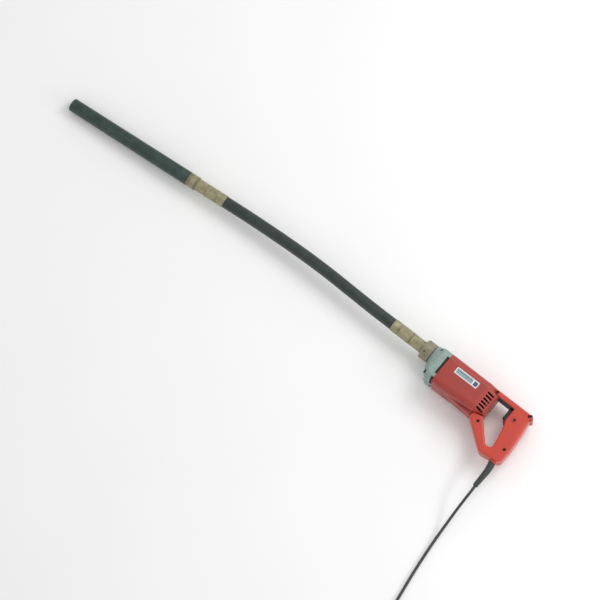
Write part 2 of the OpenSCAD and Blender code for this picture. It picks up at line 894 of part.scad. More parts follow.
module plug_body() {
    color("#1f2021") lay_down() translate(plug_at) rotate([-90, 0, 0]) difference() {
        union() {
            cylinder(h = 12, d1 = cord_d + 3, d2 = 18);
            hull() for (s = [-1, 1]) translate([s * 5.5, 0, 12]) cylinder(h = 30, d = 24.5, $fn = 32);
        }
        for (s = [-1, 1]) translate([s * pin_pitch / 2, 0, 30]) cylinder(h = 20, d = pin_d - 1);
    }
}

module plug_pins() {
    color("#c9ccce") lay_down() translate(plug_at) rotate([-90, 0, 0])
        for (s = [-1, 1]) translate([s * pin_pitch / 2, 0, 0]) {
            translate([0, 0, 30]) cylinder(h = 12.1, d = pin_d - 1);
            translate([0, 0, 42]) cylinder(h = 19, d = pin_d);
        }
}

// ---- Hose, flexible shaft and head ----

module hose_stretch(from, to) {
    color("#2f3b38") pipe(from, to, hose_d, hose_bore_d);
}

module hose_rear() {
    color("#2f3b38") lay_down() on_spindle() difference() {
        union() {
            rod(bend_1.x + bend_gap / 2, ferrule_end, hose_d);
            rod(ferrule_end - 1, ferrule_end + ferrule_len - 0.5, hose_end_d);
        }
        rod(bend_1.x, ferrule_end + ferrule_len, hose_bore_d);
    }
}

module hose_second() {
    lay_down() along(bend_1, bend_2)
        hose_stretch(bend_gap / 2 - bend_pitch, -bend_gap / 2);
}

module hose_third() {
    lay_down() along(bend_2, bend_3)
        hose_stretch(bend_gap / 2 - bend_pitch, -bend_gap / 2);
}

module on_head() {
    lay_down() along(bend_3, head_point) children();
}

module hose_front() {
    color("#2f3b38") on_head() difference() {
        union() {
            rod(-front_hose, -bend_gap / 2, hose_d);
            rod(-front_hose - hose_grip, -front_hose + 1, hose_end_d);
        }
        rod(-front_hose - hose_grip - 1, 0, hose_bore_d);
    }
}

module core_rear() {
    color("#5d6164") lay_down() on_spindle() {
        rod(bend_1.x + core_gap / 2, cover_front - 22, core_d);
        block([cover_front - 22.1, -4, -4], [cover_front - 2, 4, 4]);
    }
}

module core_second() {
    color("#5d6164") lay_down() along(bend_1, bend_2)
        rod(core_gap / 2 - bend_pitch, -core_gap / 2, core_d);
}

module core_third() {
    color("#5d6164") lay_down() along(bend_2, bend_3)
        rod(core_gap / 2 - bend_pitch, -core_gap / 2, core_d);
}

module core_front() {
    color("#5d6164") on_head() {
        rod(-rotor_start + 12.4, -core_gap / 2, core_d);
        block([-rotor_start - 4, -3, -3], [-rotor_start + 12.5, 3, 3]);
    }
}

module head_sleeve() {
    end = -front_hose;
    color("#8f8a6a") on_head() difference() {
        union() {
            rod(end - head_sleeve_len, end, hose_d + 1);
            rod(end - head_sleeve_len + 30, end - 6, hose_d + 2);
        }
        rod(end - hose_grip - 0.5, end + 1, hose_end_d);
        rod(end - head_sleeve_len - 1, end, hose_bore_d);
    }
}

module head_collar() {
    start = -front_hose - head_sleeve_len;
    color("#a29b75") on_head() difference() {
        union() {
            rod(start - collar_len, start, head_root_d - 0.5);
            rod(start - collar_len - 12, start - collar_len + 1, head_bore_d);
        }
        rod(start - collar_len - 13, start + 1, hose_bore_d);
        rod(start - collar_len - 13, start - collar_len - 5, 22);
    }
}

module shaft_seal() {
    color("#191a1a") on_head()
        pipe(-head_start - 12, -head_start - 5, 22, rotor_journal_d + 2 * run_clear);
}

module head_tube() {
    color("#2d3936") on_head() difference() {
        taper(-head_end + tip_len, -head_start,
            head_tip_d + (head_root_d - head_tip_d) * tip_len / head_len, head_root_d);
        rod(-head_end, -head_start + 1, head_bore_d);
    }
}

module head_tip() {
    edge = 3;
    seam_d = head_tip_d + (head_root_d - head_tip_d) * tip_len / head_len;
    color("#2a3532") on_head() {
        taper(-head_end, -head_end + edge, head_tip_d - 2 * edge + 1, head_tip_d);
        taper(-head_end + edge, -head_end + tip_len, head_tip_d, seam_d);
        rod(-head_end + tip_len - 1, -head_end + tip_len + 12, head_bore_d);
    }
}

module rotor_rear_bearing() {
    color("#c9cccd") on_head() bearing(-head_start - 12 - rotor_bearing[2], rotor_bearing);
}

module rotor_front_bearing() {
    color("#c9cccd") on_head() bearing(-head_end + tip_len + 12, rotor_bearing);
}

module eccentric_rotor() {
    rear_face = -head_start - 12 - rotor_bearing[2];
    front_face = -head_end + tip_len + 12 + rotor_bearing[2];
    color("#8a8d8f") on_head() difference() {
        union() {
            rod(front_face - rotor_bearing[2], -rotor_start + 12, rotor_journal_d);
            intersection() {
                rod(front_face + 2, rear_face - 2, eccentric_d);
                block([front_face, -eccentric_d, -eccentric_d], [rear_face, eccentric_d, 0]);
            }
        }
        block([-rotor_start - 5, -3.1, -3.1], [-rotor_start + 13, 3.1, 3.1]);
    }
}

motor_casing();
gear_cover();
gear_plate();
baffle_ring();
cover_screws();
coupling_nut();
drive_coupler();
drive_ferrule();
rating_label();
spindle();
spindle_gear();
spindle_front_bearing();
spindle_rear_bearing();
armature_shaft();
drive_pinion();
armature_core();
armature_windings();
commutator();
cooling_fan();
armature_front_bearing();
armature_rear_bearing();
bearing_sleeve();
stator_core();
stator_coils();
brush_holders();
carbon_brushes();
brush_springs();
handle_upper_half();
handle_lower_half();
handle_screws();
trigger();
trigger_spring();
switch_body();
lock_button();
noise_capacitor();
cord_clamp();
cord_inner_end();
cord_boot();
mains_cord();
cord_coil();
cord_tail();
plug_body();
plug_pins();
hose_rear();
hose_second();
hose_third();
hose_front();
core_rear();
core_second();
core_third();
core_front();
head_sleeve();
head_collar();
shaft_seal();
head_tube();
head_tip();
rotor_rear_bearing();
rotor_front_bearing();
eccentric_rotor();
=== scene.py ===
"""Hand-held electric concrete vibrator, lying on its side: the visual model.

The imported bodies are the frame. Sizes here are millimetres about the motor's axis, with +X
to the rear and the origin at the casing's front edge, as in the part's own drawing. Shell
turns them into metres in the row frame when it makes a piece.
"""

import json
import logging
import math
from dataclasses import dataclass, field, replace
from enum import Enum
from typing import Any, Callable, Iterable, Sequence

import bmesh
import bpy
from mathutils import Matrix, Vector


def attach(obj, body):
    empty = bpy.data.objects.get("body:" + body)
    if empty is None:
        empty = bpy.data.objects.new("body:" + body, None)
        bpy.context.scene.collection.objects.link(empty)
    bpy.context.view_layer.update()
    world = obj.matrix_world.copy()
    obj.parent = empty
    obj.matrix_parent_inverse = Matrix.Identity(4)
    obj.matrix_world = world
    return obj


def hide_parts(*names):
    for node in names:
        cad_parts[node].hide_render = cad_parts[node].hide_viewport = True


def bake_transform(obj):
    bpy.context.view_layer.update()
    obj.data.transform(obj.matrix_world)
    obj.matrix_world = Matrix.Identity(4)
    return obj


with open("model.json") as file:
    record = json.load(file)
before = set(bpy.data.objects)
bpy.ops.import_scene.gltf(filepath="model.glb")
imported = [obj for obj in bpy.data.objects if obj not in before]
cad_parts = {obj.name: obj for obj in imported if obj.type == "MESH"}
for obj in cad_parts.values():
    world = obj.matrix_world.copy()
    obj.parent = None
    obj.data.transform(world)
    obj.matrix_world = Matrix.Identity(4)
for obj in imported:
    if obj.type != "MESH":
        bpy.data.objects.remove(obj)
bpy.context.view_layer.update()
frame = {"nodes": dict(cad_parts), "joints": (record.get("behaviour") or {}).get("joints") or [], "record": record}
LOG = logging.getLogger("concrete_vibrator")

MM = 0.001
REST_X = 30.0
REST_SIDE = -44.0
SPINDLE_Y = 19.0
TO_ROW = Matrix.Scale(MM, 4) @ Matrix.Translation((-REST_X, 0.0, -REST_SIDE))
ON_SPINDLE = Matrix.Translation((0.0, SPINDLE_Y, 0.0))
# For a piece that a tree repeats, whose own middle has to lie at the row frame's origin
ABOUT_ORIGIN = TO_ROW.inverted() @ Matrix.Scale(MM, 4)
UPRIGHT = Matrix.Rotation(-math.pi / 2, 4, "Y")
CREASE = 35.0
CRIMP_CREASE = 12.0
DOUBLED = 0.002 * MM

Pair = tuple[float, float]
Cornered = tuple[float, float, float]
Station = tuple[float, float, float, float]


class Carrier(Enum):
    """The CAD bodies that visual pieces ride on."""

    MOTOR = "motor_unit"
    HOSE_2 = "hose_part_2"
    HOSE_3 = "hose_part_3"
    HEAD = "head"
    TRIGGER = "trigger_lever"
    LOCK = "lock_pin"


class Pattern(Enum):
    """What a finish is patterned with besides its patches and grain."""

    PLAIN = "plain"
    TURNED = "turned"
    WRAPPED = "wrapped"
    DRAWN = "drawn"
    STACKED = "stacked"


# ---- Nodes and finishes ----


def add(
    tree: bpy.types.NodeTree, kind: str, sockets: dict[Any, Any] | None = None, **settings: Any
) -> bpy.types.Node:
    """Adds one node to a tree.

    Args:
        tree: The material's or geometry's node tree.
        kind: The node's type name.
        sockets: Each input's name or index, with a value or the output that feeds it.
        settings: The node's own properties.

    Returns:
        The new node.
    """
    made = tree.nodes.new(kind)
    for key, value in settings.items():
        setattr(made, key, value)
    for key, value in (sockets or {}).items():
        if isinstance(value, bpy.types.NodeSocket):
            tree.links.new(value, made.inputs[key])
        else:
            made.inputs[key].default_value = value
    return made


def linear(colour: str) -> tuple[float, float, float, float]:
    """Turns an sRGB hex colour to linear RGBA.

    Args:
        colour: Six hex digits after a hash.

    Returns:
        Red, green, blue and an alpha of one.
    """
    parts = [int(colour[i : i + 2], 16) / 255 for i in (1, 3, 5)]
    return (*[p / 12.92 if p <= 0.04045 else ((p + 0.055) / 1.055) ** 2.4 for p in parts], 1.0)


@dataclass(frozen=True)
class Finish:
    """One surface as its maker would name it.

    Attributes:
        title: The material's name.
        colour: Its main colour.
        shade: The colour of its worn, faded or tarnished patches.
        roughness: Its mean roughness.
        metallic: One for bare metal, zero for plastic and rubber.
        patch_mm: The size of the patches.
        patch_share: How strongly the patches show.
        grain_mm: The size of the surface grain.
        grain_depth_mm: How deep the grain is.
        pattern: Lathe rings, a cloth wrap's print, drawn streaks or stacked sheets.
        pitch_mm: The pattern's spacing.
        pitch_depth_mm: How deep the pattern is.
        corner_shade: The painted shade colour laid in corners and along joints, if any.
        scuffs: The share of light scuff marks.
        coat: A glossy skin on moulded plastic.
        ior: Index of refraction.
        mapped: Whether the piece carries its own map of around and along.
    """

    title: str
    colour: str
    shade: str
    roughness: float
    metallic: float = 0.0
    patch_mm: float = 30.0
    patch_share: float = 0.6
    grain_mm: float = 0.8
    grain_depth_mm: float = 0.02
    pattern: Pattern = Pattern.PLAIN
    pitch_mm: float = 1.0
    pitch_depth_mm: float = 0.02
    corner_shade: str = ""
    scuffs: float = 0.0
    coat: float = 0.0
    ior: float = 1.5
    mapped: bool = False

    def material(self) -> bpy.types.Material:
        """Makes the material, or finds it if it is made already.

        Returns:
            The material.
        """
        found = bpy.data.materials.get(self.title)
        if found:
            return found
        made = bpy.data.materials.new(self.title)
        made.use_nodes = True
        tree = made.node_tree
        tree.nodes.clear()
        place = add(tree, "ShaderNodeTexCoord").outputs["UV" if self.mapped else "Object"]
        colour, worn = self._colour(tree, place)
        shader = add(
            tree,
            "ShaderNodeBsdfPrincipled",
            {
                "Base Color": colour,
                "Roughness": self._roughness(tree, worn),
                "Metallic": self.metallic,
                "Coat Weight": self.coat,
                "Coat Roughness": 0.25,
                "Normal": self._relief(tree, place),
            },
        )
        if not self.metallic:
            shader.inputs["IOR"].default_value = self.ior
        add(tree, "ShaderNodeOutputMaterial", {"Surface": shader.outputs[0]})
        made.diffuse_color = linear(self.colour)
        return made

    def _noise(
        self, tree: bpy.types.NodeTree, place: bpy.types.NodeSocket, size_mm: float, detail: float
    ) -> bpy.types.NodeSocket:
        """A noise whose lumps are about the given size.

        Args:
            tree: The node tree.
            place: The coordinates that it reads.
            size_mm: The size of its lumps.
            detail: How many finer layers it has.

        Returns:
            The noise's value.
        """
        return add(
            tree,
            "ShaderNodeTexNoise",
            {"Vector": place, "Scale": 1 / (size_mm * MM), "Detail": detail, "Roughness": 0.55},
        ).outputs["Fac"]

    def _ramp(
        self, tree: bpy.types.NodeTree, value: bpy.types.NodeSocket, low: float, high: float, top: float
    ) -> bpy.types.NodeSocket:
        """Spreads a value between low and high to between nothing and top.

        Args:
            tree: The node tree.
            value: The value to spread.
            low: The value that gives nothing.
            high: The value that gives the top.
            top: The largest result.

        Returns:
            The spread value.
        """
        return add(
            tree,
            "ShaderNodeMapRange",
            {"Value": value, "From Min": low, "From Max": high, "To Min": 0.0, "To Max": top},
        ).outputs["Result"]

    def _blend(self, tree: bpy.types.NodeTree, share: Any, first: Any, second: Any) -> bpy.types.NodeSocket:
        """Mixes two colours."""
        mixed = add(tree, "ShaderNodeMix", {0: share, 6: first, 7: second}, data_type="RGBA")
        return mixed.outputs[2]

    def _colour(
        self, tree: bpy.types.NodeTree, place: bpy.types.NodeSocket
    ) -> tuple[bpy.types.NodeSocket, bpy.types.NodeSocket]:
        """The base colour, and the share of wear that the roughness follows too.

        Args:
            tree: The node tree.
            place: The coordinates that the patterns read.

        Returns:
            The colour and the share of wear.
        """
        patches = self._noise(tree, place, self.patch_mm, 4.0)
        worn = self._ramp(tree, patches, 0.38, 0.68, self.patch_share)
        colour = self._blend(tree, worn, linear(self.colour), linear(self.shade))
        specks = self._ramp(tree, self._noise(tree, place, self.grain_mm * 2.5, 3.0), 0.3, 0.8, 0.22)
        colour = self._blend(tree, specks, colour, linear(self.shade))
        if self.pattern is Pattern.DRAWN:
            # Drawing and handling leave faint streaks that run along the piece
            long = add(tree, "ShaderNodeMapping", {"Vector": place, "Scale": (1.0, 0.03, 1.0)}).outputs[0]
            streaks = self._ramp(tree, self._noise(tree, long, self.pitch_mm, 3.0), 0.5, 0.75, 0.45)
            colour = self._blend(tree, streaks, colour, linear(self.shade))
        if self.scuffs:
            # Site handling leaves short pale scuffs across the skin
            spread = add(
                tree,
                "ShaderNodeMapping",
                {"Vector": place, "Rotation": (0.3, 0.2, 0.9), "Scale": (1.0, 0.12, 0.5)},
            ).outputs[0]
            marks = self._ramp(tree, self._noise(tree, spread, 2.2, 5.0), 0.66, 0.74, self.scuffs)
            colour = self._blend(tree, marks, colour, linear("#d9b7a6"))
        if self.corner_shade:
            # Painted shade: ambient occlusion darkens corners and joints
            corner = add(tree, "ShaderNodeAmbientOcclusion", {"Distance": 5 * MM}, samples=4).outputs["AO"]
            shade_amount = self._ramp(tree, corner, 0.75, 0.25, 0.75)
            colour = self._blend(tree, shade_amount, colour, linear(self.corner_shade))
        return colour, worn

    def _roughness(self, tree: bpy.types.NodeTree, worn: bpy.types.NodeSocket) -> bpy.types.NodeSocket:
        """Roughness that grows a little where the surface is worn.

        Args:
            tree: The node tree.
            worn: The share of wear.

        Returns:
            The roughness.
        """
        return add(
            tree,
            "ShaderNodeMapRange",
            {
                "Value": worn,
                "From Min": 0.0,
                "From Max": 1.0,
                "To Min": self.roughness * 0.9,
                "To Max": min(self.roughness * 1.35, 1.0),
            },
        ).outputs["Result"]

    def _relief(self, tree: bpy.types.NodeTree, place: bpy.types.NodeSocket) -> bpy.types.NodeSocket:
        """The grain and the pattern as one bump.

        Args:
            tree: The node tree.
            place: The coordinates that the bump reads.

        Returns:
            The bumped normal.
        """
        normal = add(
            tree,
            "ShaderNodeBump",
            {
                "Height": self._noise(tree, place, self.grain_mm, 3.0),
                "Distance": self.grain_depth_mm * MM,
                "Strength": 0.6,
            },
        ).outputs[0]
        if self.pattern in (Pattern.PLAIN, Pattern.DRAWN):
            return normal
        axis, turn = "Y" if self.mapped else "X", (0.0, 0.0, 0.0)
        if self.pattern is Pattern.WRAPPED:
            turn = (0.0, 0.0, math.radians(38))
        laid = add(tree, "ShaderNodeMapping", {"Vector": place, "Rotation": turn}).outputs[0]
        # One wave is 20 units of the texture's own scale over two pi of length
        scale = 2 * math.pi / (20 * self.pitch_mm * MM)
        waves = add(
            tree,
            "ShaderNodeTexWave",
            {"Vector": laid, "Scale": scale, "Distortion": 0.6, "Detail": 2.0},
            bands_direction=axis,
        ).outputs["Fac"]
        return add(
            tree,
            "ShaderNodeBump",
            {"Height": waves, "Distance": self.pitch_depth_mm * MM, "Strength": 0.6, "Normal": normal},
        ).outputs[0]


# Each finish's corner colour below is painted shade, laid in corners and along joints by ambient occlusion
# ABS moulded in a satin tool: a soft broad sheen, faded in patches, with painted shade along joints
CASING_RED = Finish(
    "red_abs_casing", "#a8362b", "#8f342c", 0.42, patch_mm=38, grain_mm=0.9, grain_depth_mm=0.03,
    corner_shade="#4a2320", scuffs=0.10, coat=0.15,
)
# The handle halves are brighter and rubbed glossier by hands
HANDLE_RED = Finish(
    "red_abs_handle", "#c63b29", "#b4392b", 0.34, patch_mm=34, grain_mm=1.1, grain_depth_mm=0.02,
    corner_shade="#5a241e", scuffs=0.12, coat=0.3,
)
# Aluminium die casting in thin grey paint: a cool dull sheen with the tool's orange peel
CAST_ALLOY = Finish(
    "die_cast_aluminium", "#96a7a2", "#7f8f8a", 0.5, metallic=0.3, patch_mm=16, grain_mm=1.6,
    grain_depth_mm=0.08, corner_shade="#3f4543",
)
# Turned bronze, tarnished dull olive: lathe rings drawn at 0.8 mm so that they show
BRONZE = Finish(
    "turned_bronze", "#a8a282", "#77725a", 0.46, metallic=0.6, patch_mm=14, pattern=Pattern.TURNED,
    pitch_mm=0.8, pitch_depth_mm=0.012, corner_shade="#35321f", mapped=True,
)
NUT_BRONZE = Finish(
    "cast_bronze_nut", "#9a937d", "#756e5a", 0.55, metallic=0.5, patch_mm=9, grain_mm=1.2,
    grain_depth_mm=0.06, pattern=Pattern.TURNED, pitch_mm=0.9, pitch_depth_mm=0.01,
    corner_shade="#2f2c22", mapped=True,
)
# Rubber hose cured in a cloth wrap, whose 2.4 mm print is left in its skin
HOSE_RUBBER = Finish(
    "cloth_wrapped_hose_rubber", "#222c29", "#35423e", 0.38, patch_mm=22, patch_share=0.5, grain_mm=1.0,
    pattern=Pattern.WRAPPED, pitch_mm=2.4, pitch_depth_mm=0.035, ior=1.52, mapped=True,
)
# Hardened steel blackened with oxide, rubbed along its length by gravel
HEAD_STEEL = Finish(
    "blackened_steel_head", "#32413c", "#4c5c55", 0.36, metallic=0.5, patch_mm=26, grain_mm=0.7,
    pattern=Pattern.DRAWN, pitch_mm=1.6, mapped=True,
)
CORD_RUBBER = Finish(
    "mains_cord_rubber", "#343735", "#454846", 0.55, patch_mm=18, grain_mm=0.7, grain_depth_mm=0.03,
)
BLACK_POLYAMIDE = Finish(
    "black_polyamide", "#141516", "#222425", 0.5, patch_mm=14, grain_mm=0.8, grain_depth_mm=0.03,
)
BUTTON_PLASTIC = Finish("dark_button_plastic", "#2c1512", "#43211c", 0.4, patch_mm=5)
LABEL_FOIL = Finish("printed_label_foil", "#e4e7ec", "#cfd3da", 0.3, metallic=0.1, patch_mm=12)
LABEL_TINT = Finish("label_tint_panel", "#9fb2b4", "#8b9fae", 0.34, patch_mm=8)
LABEL_INK = Finish("label_grey_ink", "#4c566b", "#434d5e", 0.38, patch_mm=6)
GROUND_STEEL = Finish("ground_steel", "#b9bbbc", "#9a9c9e", 0.28, metallic=1.0, patch_mm=12)
BLACK_OXIDE = Finish("black_oxide_screws", "#3c3e3f", "#585b5c", 0.4, metallic=0.9, patch_mm=3)
SPRING_WIRE = Finish("bright_spring_wire", "#c3c5c6", "#a6a8a9", 0.25, metallic=1.0, patch_mm=3)
LAMINATION = Finish(
    "stacked_steel_sheets", "#6f7174", "#54575a", 0.45, metallic=0.9, patch_mm=10,
    pattern=Pattern.STACKED, pitch_mm=1.0, pitch_depth_mm=0.08,
)
COPPER = Finish(
    "enamelled_copper", "#a9612f", "#8a4a20", 0.32, metallic=0.8, patch_mm=5,
    pattern=Pattern.STACKED, pitch_mm=0.9, pitch_depth_mm=0.12,
)
CARBON = Finish("pressed_carbon", "#2b2b2d", "#3b3b3e", 0.6, patch_mm=3)
CAPACITOR_SLEEVE = Finish("blue_shrink_sleeve", "#2f5f8a", "#28506f", 0.3, patch_mm=8)

SLOT_FINISHES = {
    "casing_red": CASING_RED,
    "handle_red": HANDLE_RED,
    "cast_alloy": CAST_ALLOY,
    "bronze": BRONZE,
    "nut_bronze": NUT_BRONZE,
    "hose_rubber": HOSE_RUBBER,
    "head_steel": HEAD_STEEL,
    "cord_rubber": CORD_RUBBER,
    "black_plastic": BLACK_POLYAMIDE,
    "button_plastic": BUTTON_PLASTIC,
    "label_foil": LABEL_FOIL,
    "steel": GROUND_STEEL,
    "screw_steel": BLACK_OXIDE,
    "spring_steel": SPRING_WIRE,
    "lamination": LAMINATION,
    "copper": COPPER,
    "carbon": CARBON,
    "capacitor_blue": CAPACITOR_SLEEVE,
}


# ---- Shapes ----


def eased(corners: Sequence[Cornered], closed: bool = True, steps: int = 5) -> list[Pair]:
    """Rounds the corners of a flat line.

    Args:
        corners: Each corner's two places and its radius.
        closed: Whether the line comes back to its start.
        steps: How many straight pieces stand for each rounded corner.

    Returns:
        The points of the rounded line.
    """
    line: list[Pair] = []
    count = len(corners)
    for i, (x, y, radius) in enumerate(corners):
        here = Vector((x, y))
        if radius <= 0 or (not closed and i in (0, count - 1)):
            line.append((x, y))
            continue
        back = Vector(corners[i - 1][:2]) - here
        on = Vector(corners[(i + 1) % count][:2]) - here
        reach = 0.49 * min(back.length, on.length)
        back.normalize()
        on.normalize()
        half = back.angle(on) / 2
        if half > math.radians(89.5):
            line.extend([(x, y)] * (steps + 1))
            continue
        arm = min(radius / math.tan(half), reach)
        radius = arm * math.tan(half)
        centre = here + (back + on).normalized() * (radius / math.sin(half))
        start = here + back * arm - centre
        swing = math.pi - 2 * half
        if back.x * on.y - back.y * on.x > 0:
            swing = -swing
        for k in range(steps + 1):
            turned = Matrix.Rotation(swing * k / steps, 2) @ start
            line.append((centre.x + turned.x, centre.y + turned.y))
    return line


@dataclass(frozen=True)
class Edge:
    """A corner of an outline and the side that leaves it, clockwise."""

    x: float
    y: float
    radius: float
    softness: float = 1.0


@dataclass(frozen=True)
class Outline:
    """A clockwise outline whose sides can be drawn in, each by its own share."""

    edges: tuple[Edge, ...]

    def ring(self, inset: float, steps: int = 5) -> list[Pair]:
        """Gives the outline drawn in by an inset.

        Args:
            inset: How far the sides move in, times each side's softness.
            steps: How many straight pieces stand for each corner.

        Returns:
            The points, as many for every inset.
        """
        count = len(self.edges)
        starts, ways = [], []
        for i, edge in enumerate(self.edges):
            after = self.edges[(i + 1) % count]
            way = Vector((after.x - edge.x, after.y - edge.y)).normalized()
            inward = Vector((way.y, -way.x))
            starts.append(Vector((edge.x, edge.y)) + inward * inset * edge.softness)
            ways.append(way)
        corners = []
        for i, edge in enumerate(self.edges):
            before, way = ways[i - 1], ways[i]
            cross = before.x * way.y - before.y * way.x
            gap = starts[i] - starts[i - 1]
            along = (gap.x * way.y - gap.y * way.x) / cross if abs(cross) > 0.02 else before.dot(gap)
            point = starts[i - 1] + before * along
            drawn = inset * (edge.softness + self.edges[i - 1].softness) / 2
            radius = max(edge.radius - drawn, 0.3) if cross < 0 else edge.radius + drawn
            corners.append((point.x, point.y, radius))
        return eased(corners, True, steps)


def rectangle(x0: float, y0: float, x1: float, y1: float, radius: float = 0.0) -> Outline:
    """A rectangle's outline, clockwise from its upper left corner.

    Args:
        x0: The left side.
        y0: The lower side.
        x1: The right side.
        y1: The upper side.
        radius: The corners' radius.

    Returns:
        The outline.
    """
    return Outline(tuple(Edge(x, y, radius) for x, y in ((x0, y1), (x1, y1), (x1, y0), (x0, y0))))


def placement(origin: Vector, way: Vector) -> Matrix:
    """Puts local +X along a direction, as the part's own drawing does.

    Args:
        origin: Where local zero lies.
        way: A unit vector for local +X.

    Returns:
        The matrix in tool millimetres.
    """
    turn = Matrix.Rotation(math.atan2(way.y, way.x), 4, "Z")
    tilt = Matrix.Rotation(-math.asin(way.z), 4, "Y")
    return Matrix.Translation(origin) @ turn @ tilt


@dataclass
class Shell:
    """Points in tool millimetres, faces over them, and a map in metres for each face."""

    points: list[Vector] = field(default_factory=list)
    faces: list[tuple[int, ...]] = field(default_factory=list)
    maps: list[list[Pair]] = field(default_factory=list)

    @classmethod
    def loft(cls, rings: Sequence[Sequence[Vector]], looped: bool = False) -> "Shell":
        """Skins rings of equally many points.

        Args:
            rings: The rings in order.
            looped: Whether the last ring joins the first, which leaves no caps.

        Returns:
            The closed shell.
        """
        sides = len(rings[0])
        shell = cls(points=[Vector(p) for ring in rings for p in ring])
        spans = max(
            sum((Vector(ring[k]) - Vector(ring[k - 1])).length for k in range(sides)) for ring in rings
        )
        along = 0.0
        for i in range(len(rings) if looped else len(rings) - 1):
            j = (i + 1) % len(rings)
            reach = (Vector(rings[j][0]) - Vector(rings[i][0])).length
            for k in range(sides):
                after = (k + 1) % sides
                shell.faces.append((i * sides + k, i * sides + after, j * sides + after, j * sides + k))
                u0, u1 = spans * k / sides * MM, spans * (k + 1) / sides * MM
                v0, v1 = along * MM, (along + reach) * MM
                shell.maps.append([(u0, v0), (u1, v0), (u1, v1), (u0, v1)])
            along += reach
        if not looped:
            for i in (0, len(rings) - 1):
                cap = tuple(i * sides + k for k in range(sides))
                shell.faces.append(cap)
                shell.maps.append([(0.0, along * MM * (i > 0))] * sides)
        return shell

    @classmethod
    def turned(cls, profile: Sequence[Pair], looped: bool = True, sides: int = 72) -> "Shell":
        """Turns a profile of station and radius about local X.

        Args:
            profile: Each point's station and radius.
            looped: Whether the profile closes on itself, as on a ring.
            sides: Straight pieces around it.

        Returns:
            The closed shell.
        """
        angles = [2 * math.pi * k / sides for k in range(sides)]
        rings = [[Vector((x, r * math.cos(a), r * math.sin(a))) for a in angles] for x, r in profile]
        return cls.loft(rings, looped)

    @classmethod
    def slab(
        cls, outline: Outline, low: float, high: float, edge: float, foot: float = 0.0, steps: int = 5
    ) -> "Shell":
        """Raises an outline with a rounded upper edge and, if foot is given, a rounded lower one.

        Args:
            outline: The outline in X and Y.
            low: The lower face's Z.
            high: The upper face's Z.
            edge: The upper edge's radius.
            foot: The lower edge's radius.
            steps: Straight pieces in each rounding and corner.

        Returns:
            The closed shell.
        """
        levels: list[Pair] = []
        quarter = [math.pi / 2 * k / steps for k in range(steps + 1)]
        if foot:
            levels += [(foot * (1 - math.sin(a)), low + foot * (1 - math.cos(a))) for a in quarter]
        else:
            levels.append((0.0, low))
        if edge:
            levels += [(edge * (1 - math.cos(a)), high - edge * (1 - math.sin(a))) for a in quarter]
        else:
            levels.append((0.0, high))
        rings = [[Vector((x, y, z)) for x, y in outline.ring(inset, steps)] for inset, z in levels]
        return cls.loft(rings)

    @classmethod
    def tube(
        cls, path: Sequence[Vector], radius: Callable[[float], float], bore: float, sides: int = 48
    ) -> "Shell":
        """Sweeps a round tube along a path.

        Args:
            path: The centreline.
            radius: The outer radius at a share of the path.
            bore: The inner radius.
            sides: Straight pieces around it.

        Returns:
            The closed shell, outside and bore joined at both ends.
        """
        rings, inner = [], []
        for i, here in enumerate(path):
            way = (path[min(i + 1, len(path) - 1)] - path[max(i - 1, 0)]).normalized()
            side = way.cross(Vector((0, 0, 1))).normalized()
            top = side.cross(way)
            r = radius(i / (len(path) - 1))
            spokes = [
                side * math.cos(2 * math.pi * k / sides) + top * math.sin(2 * math.pi * k / sides)
                for k in range(sides)
            ]
            rings.append([here + s * r for s in spokes])
            inner.append([here + s * bore for s in spokes])
        return cls.loft(rings + inner[::-1], looped=True)

    def moved(self, matrix: Matrix) -> "Shell":
        """Moves the points by a matrix in tool millimetres."""
        self.points = [matrix @ p for p in self.points]
        return self

    def piece(self, name: str, finish: Finish, crease: float = CREASE) -> bpy.types.Object:
        """Makes the object, its place in its mesh, with its faces outwards.

        Args:
            name: The piece's name.
            finish: Its finish.
            crease: Edges sharper than this many degrees stay sharp.

        Returns:
            The object, at the origin.
        """
        mesh = bpy.data.meshes.new(name)
        mesh.from_pydata([TO_ROW @ p for p in self.points], [], self.faces)
        layer = mesh.uv_layers.new(name="Around")
        for polygon, marks in zip(mesh.polygons, self.maps):
            for loop, mark in zip(polygon.loop_indices, marks):
                layer.data[loop].uv = mark
        mesh.materials.append(finish.material())
        made = bpy.data.objects.new(name, mesh)
        bpy.context.scene.collection.objects.link(made)
        tidy(made)
        crease_edges(made, crease)
        return made


def tidy(piece: bpy.types.Object) -> None:
    """Merges doubled points and turns the faces outwards.

    Args:
        piece: The piece to clean.
    """
    work = bmesh.new()
    work.from_mesh(piece.data)
    bmesh.ops.remove_doubles(work, verts=work.verts, dist=DOUBLED)
    bmesh.ops.dissolve_degenerate(work, edges=work.edges, dist=DOUBLED)
    bmesh.ops.recalc_face_normals(work, faces=work.faces)
    work.to_mesh(piece.data)
    work.free()


def crease_edges(piece: bpy.types.Object, angle: float) -> None:
    """Shades a piece smooth but for its sharp edges."""
    piece.data.shade_smooth()
    piece.data.set_sharp_from_angle(angle=math.radians(angle))


def settle_mesh(piece: bpy.types.Object) -> None:
    """Replaces a piece's mesh with what its modifiers make, and removes them.

    Args:
        piece: The piece whose modifiers are to be kept as mesh.
    """
    graph = bpy.context.evaluated_depsgraph_get()
    made = bpy.data.meshes.new_from_object(piece.evaluated_get(graph), depsgraph=graph)
    piece.modifiers.clear()
    piece.data = made


def carve(piece: bpy.types.Object, cutters: Iterable[bpy.types.Object], way: str = "DIFFERENCE") -> None:
    """Cuts other solids from a piece, or joins them to it, and removes them.

    Args:
        piece: The piece that is kept.
        cutters: The solids to take from it or add to it.
        way: The boolean's operation.
    """
    cutters = list(cutters)
    for cutter in cutters:
        step = piece.modifiers.new(cutter.name, "BOOLEAN")
        step.operation = way
        step.solver = "EXACT"
        step.object = cutter
    settle_mesh(piece)
    for cutter in cutters:
        bpy.data.objects.remove(cutter)
    crease_edges(piece, CREASE)


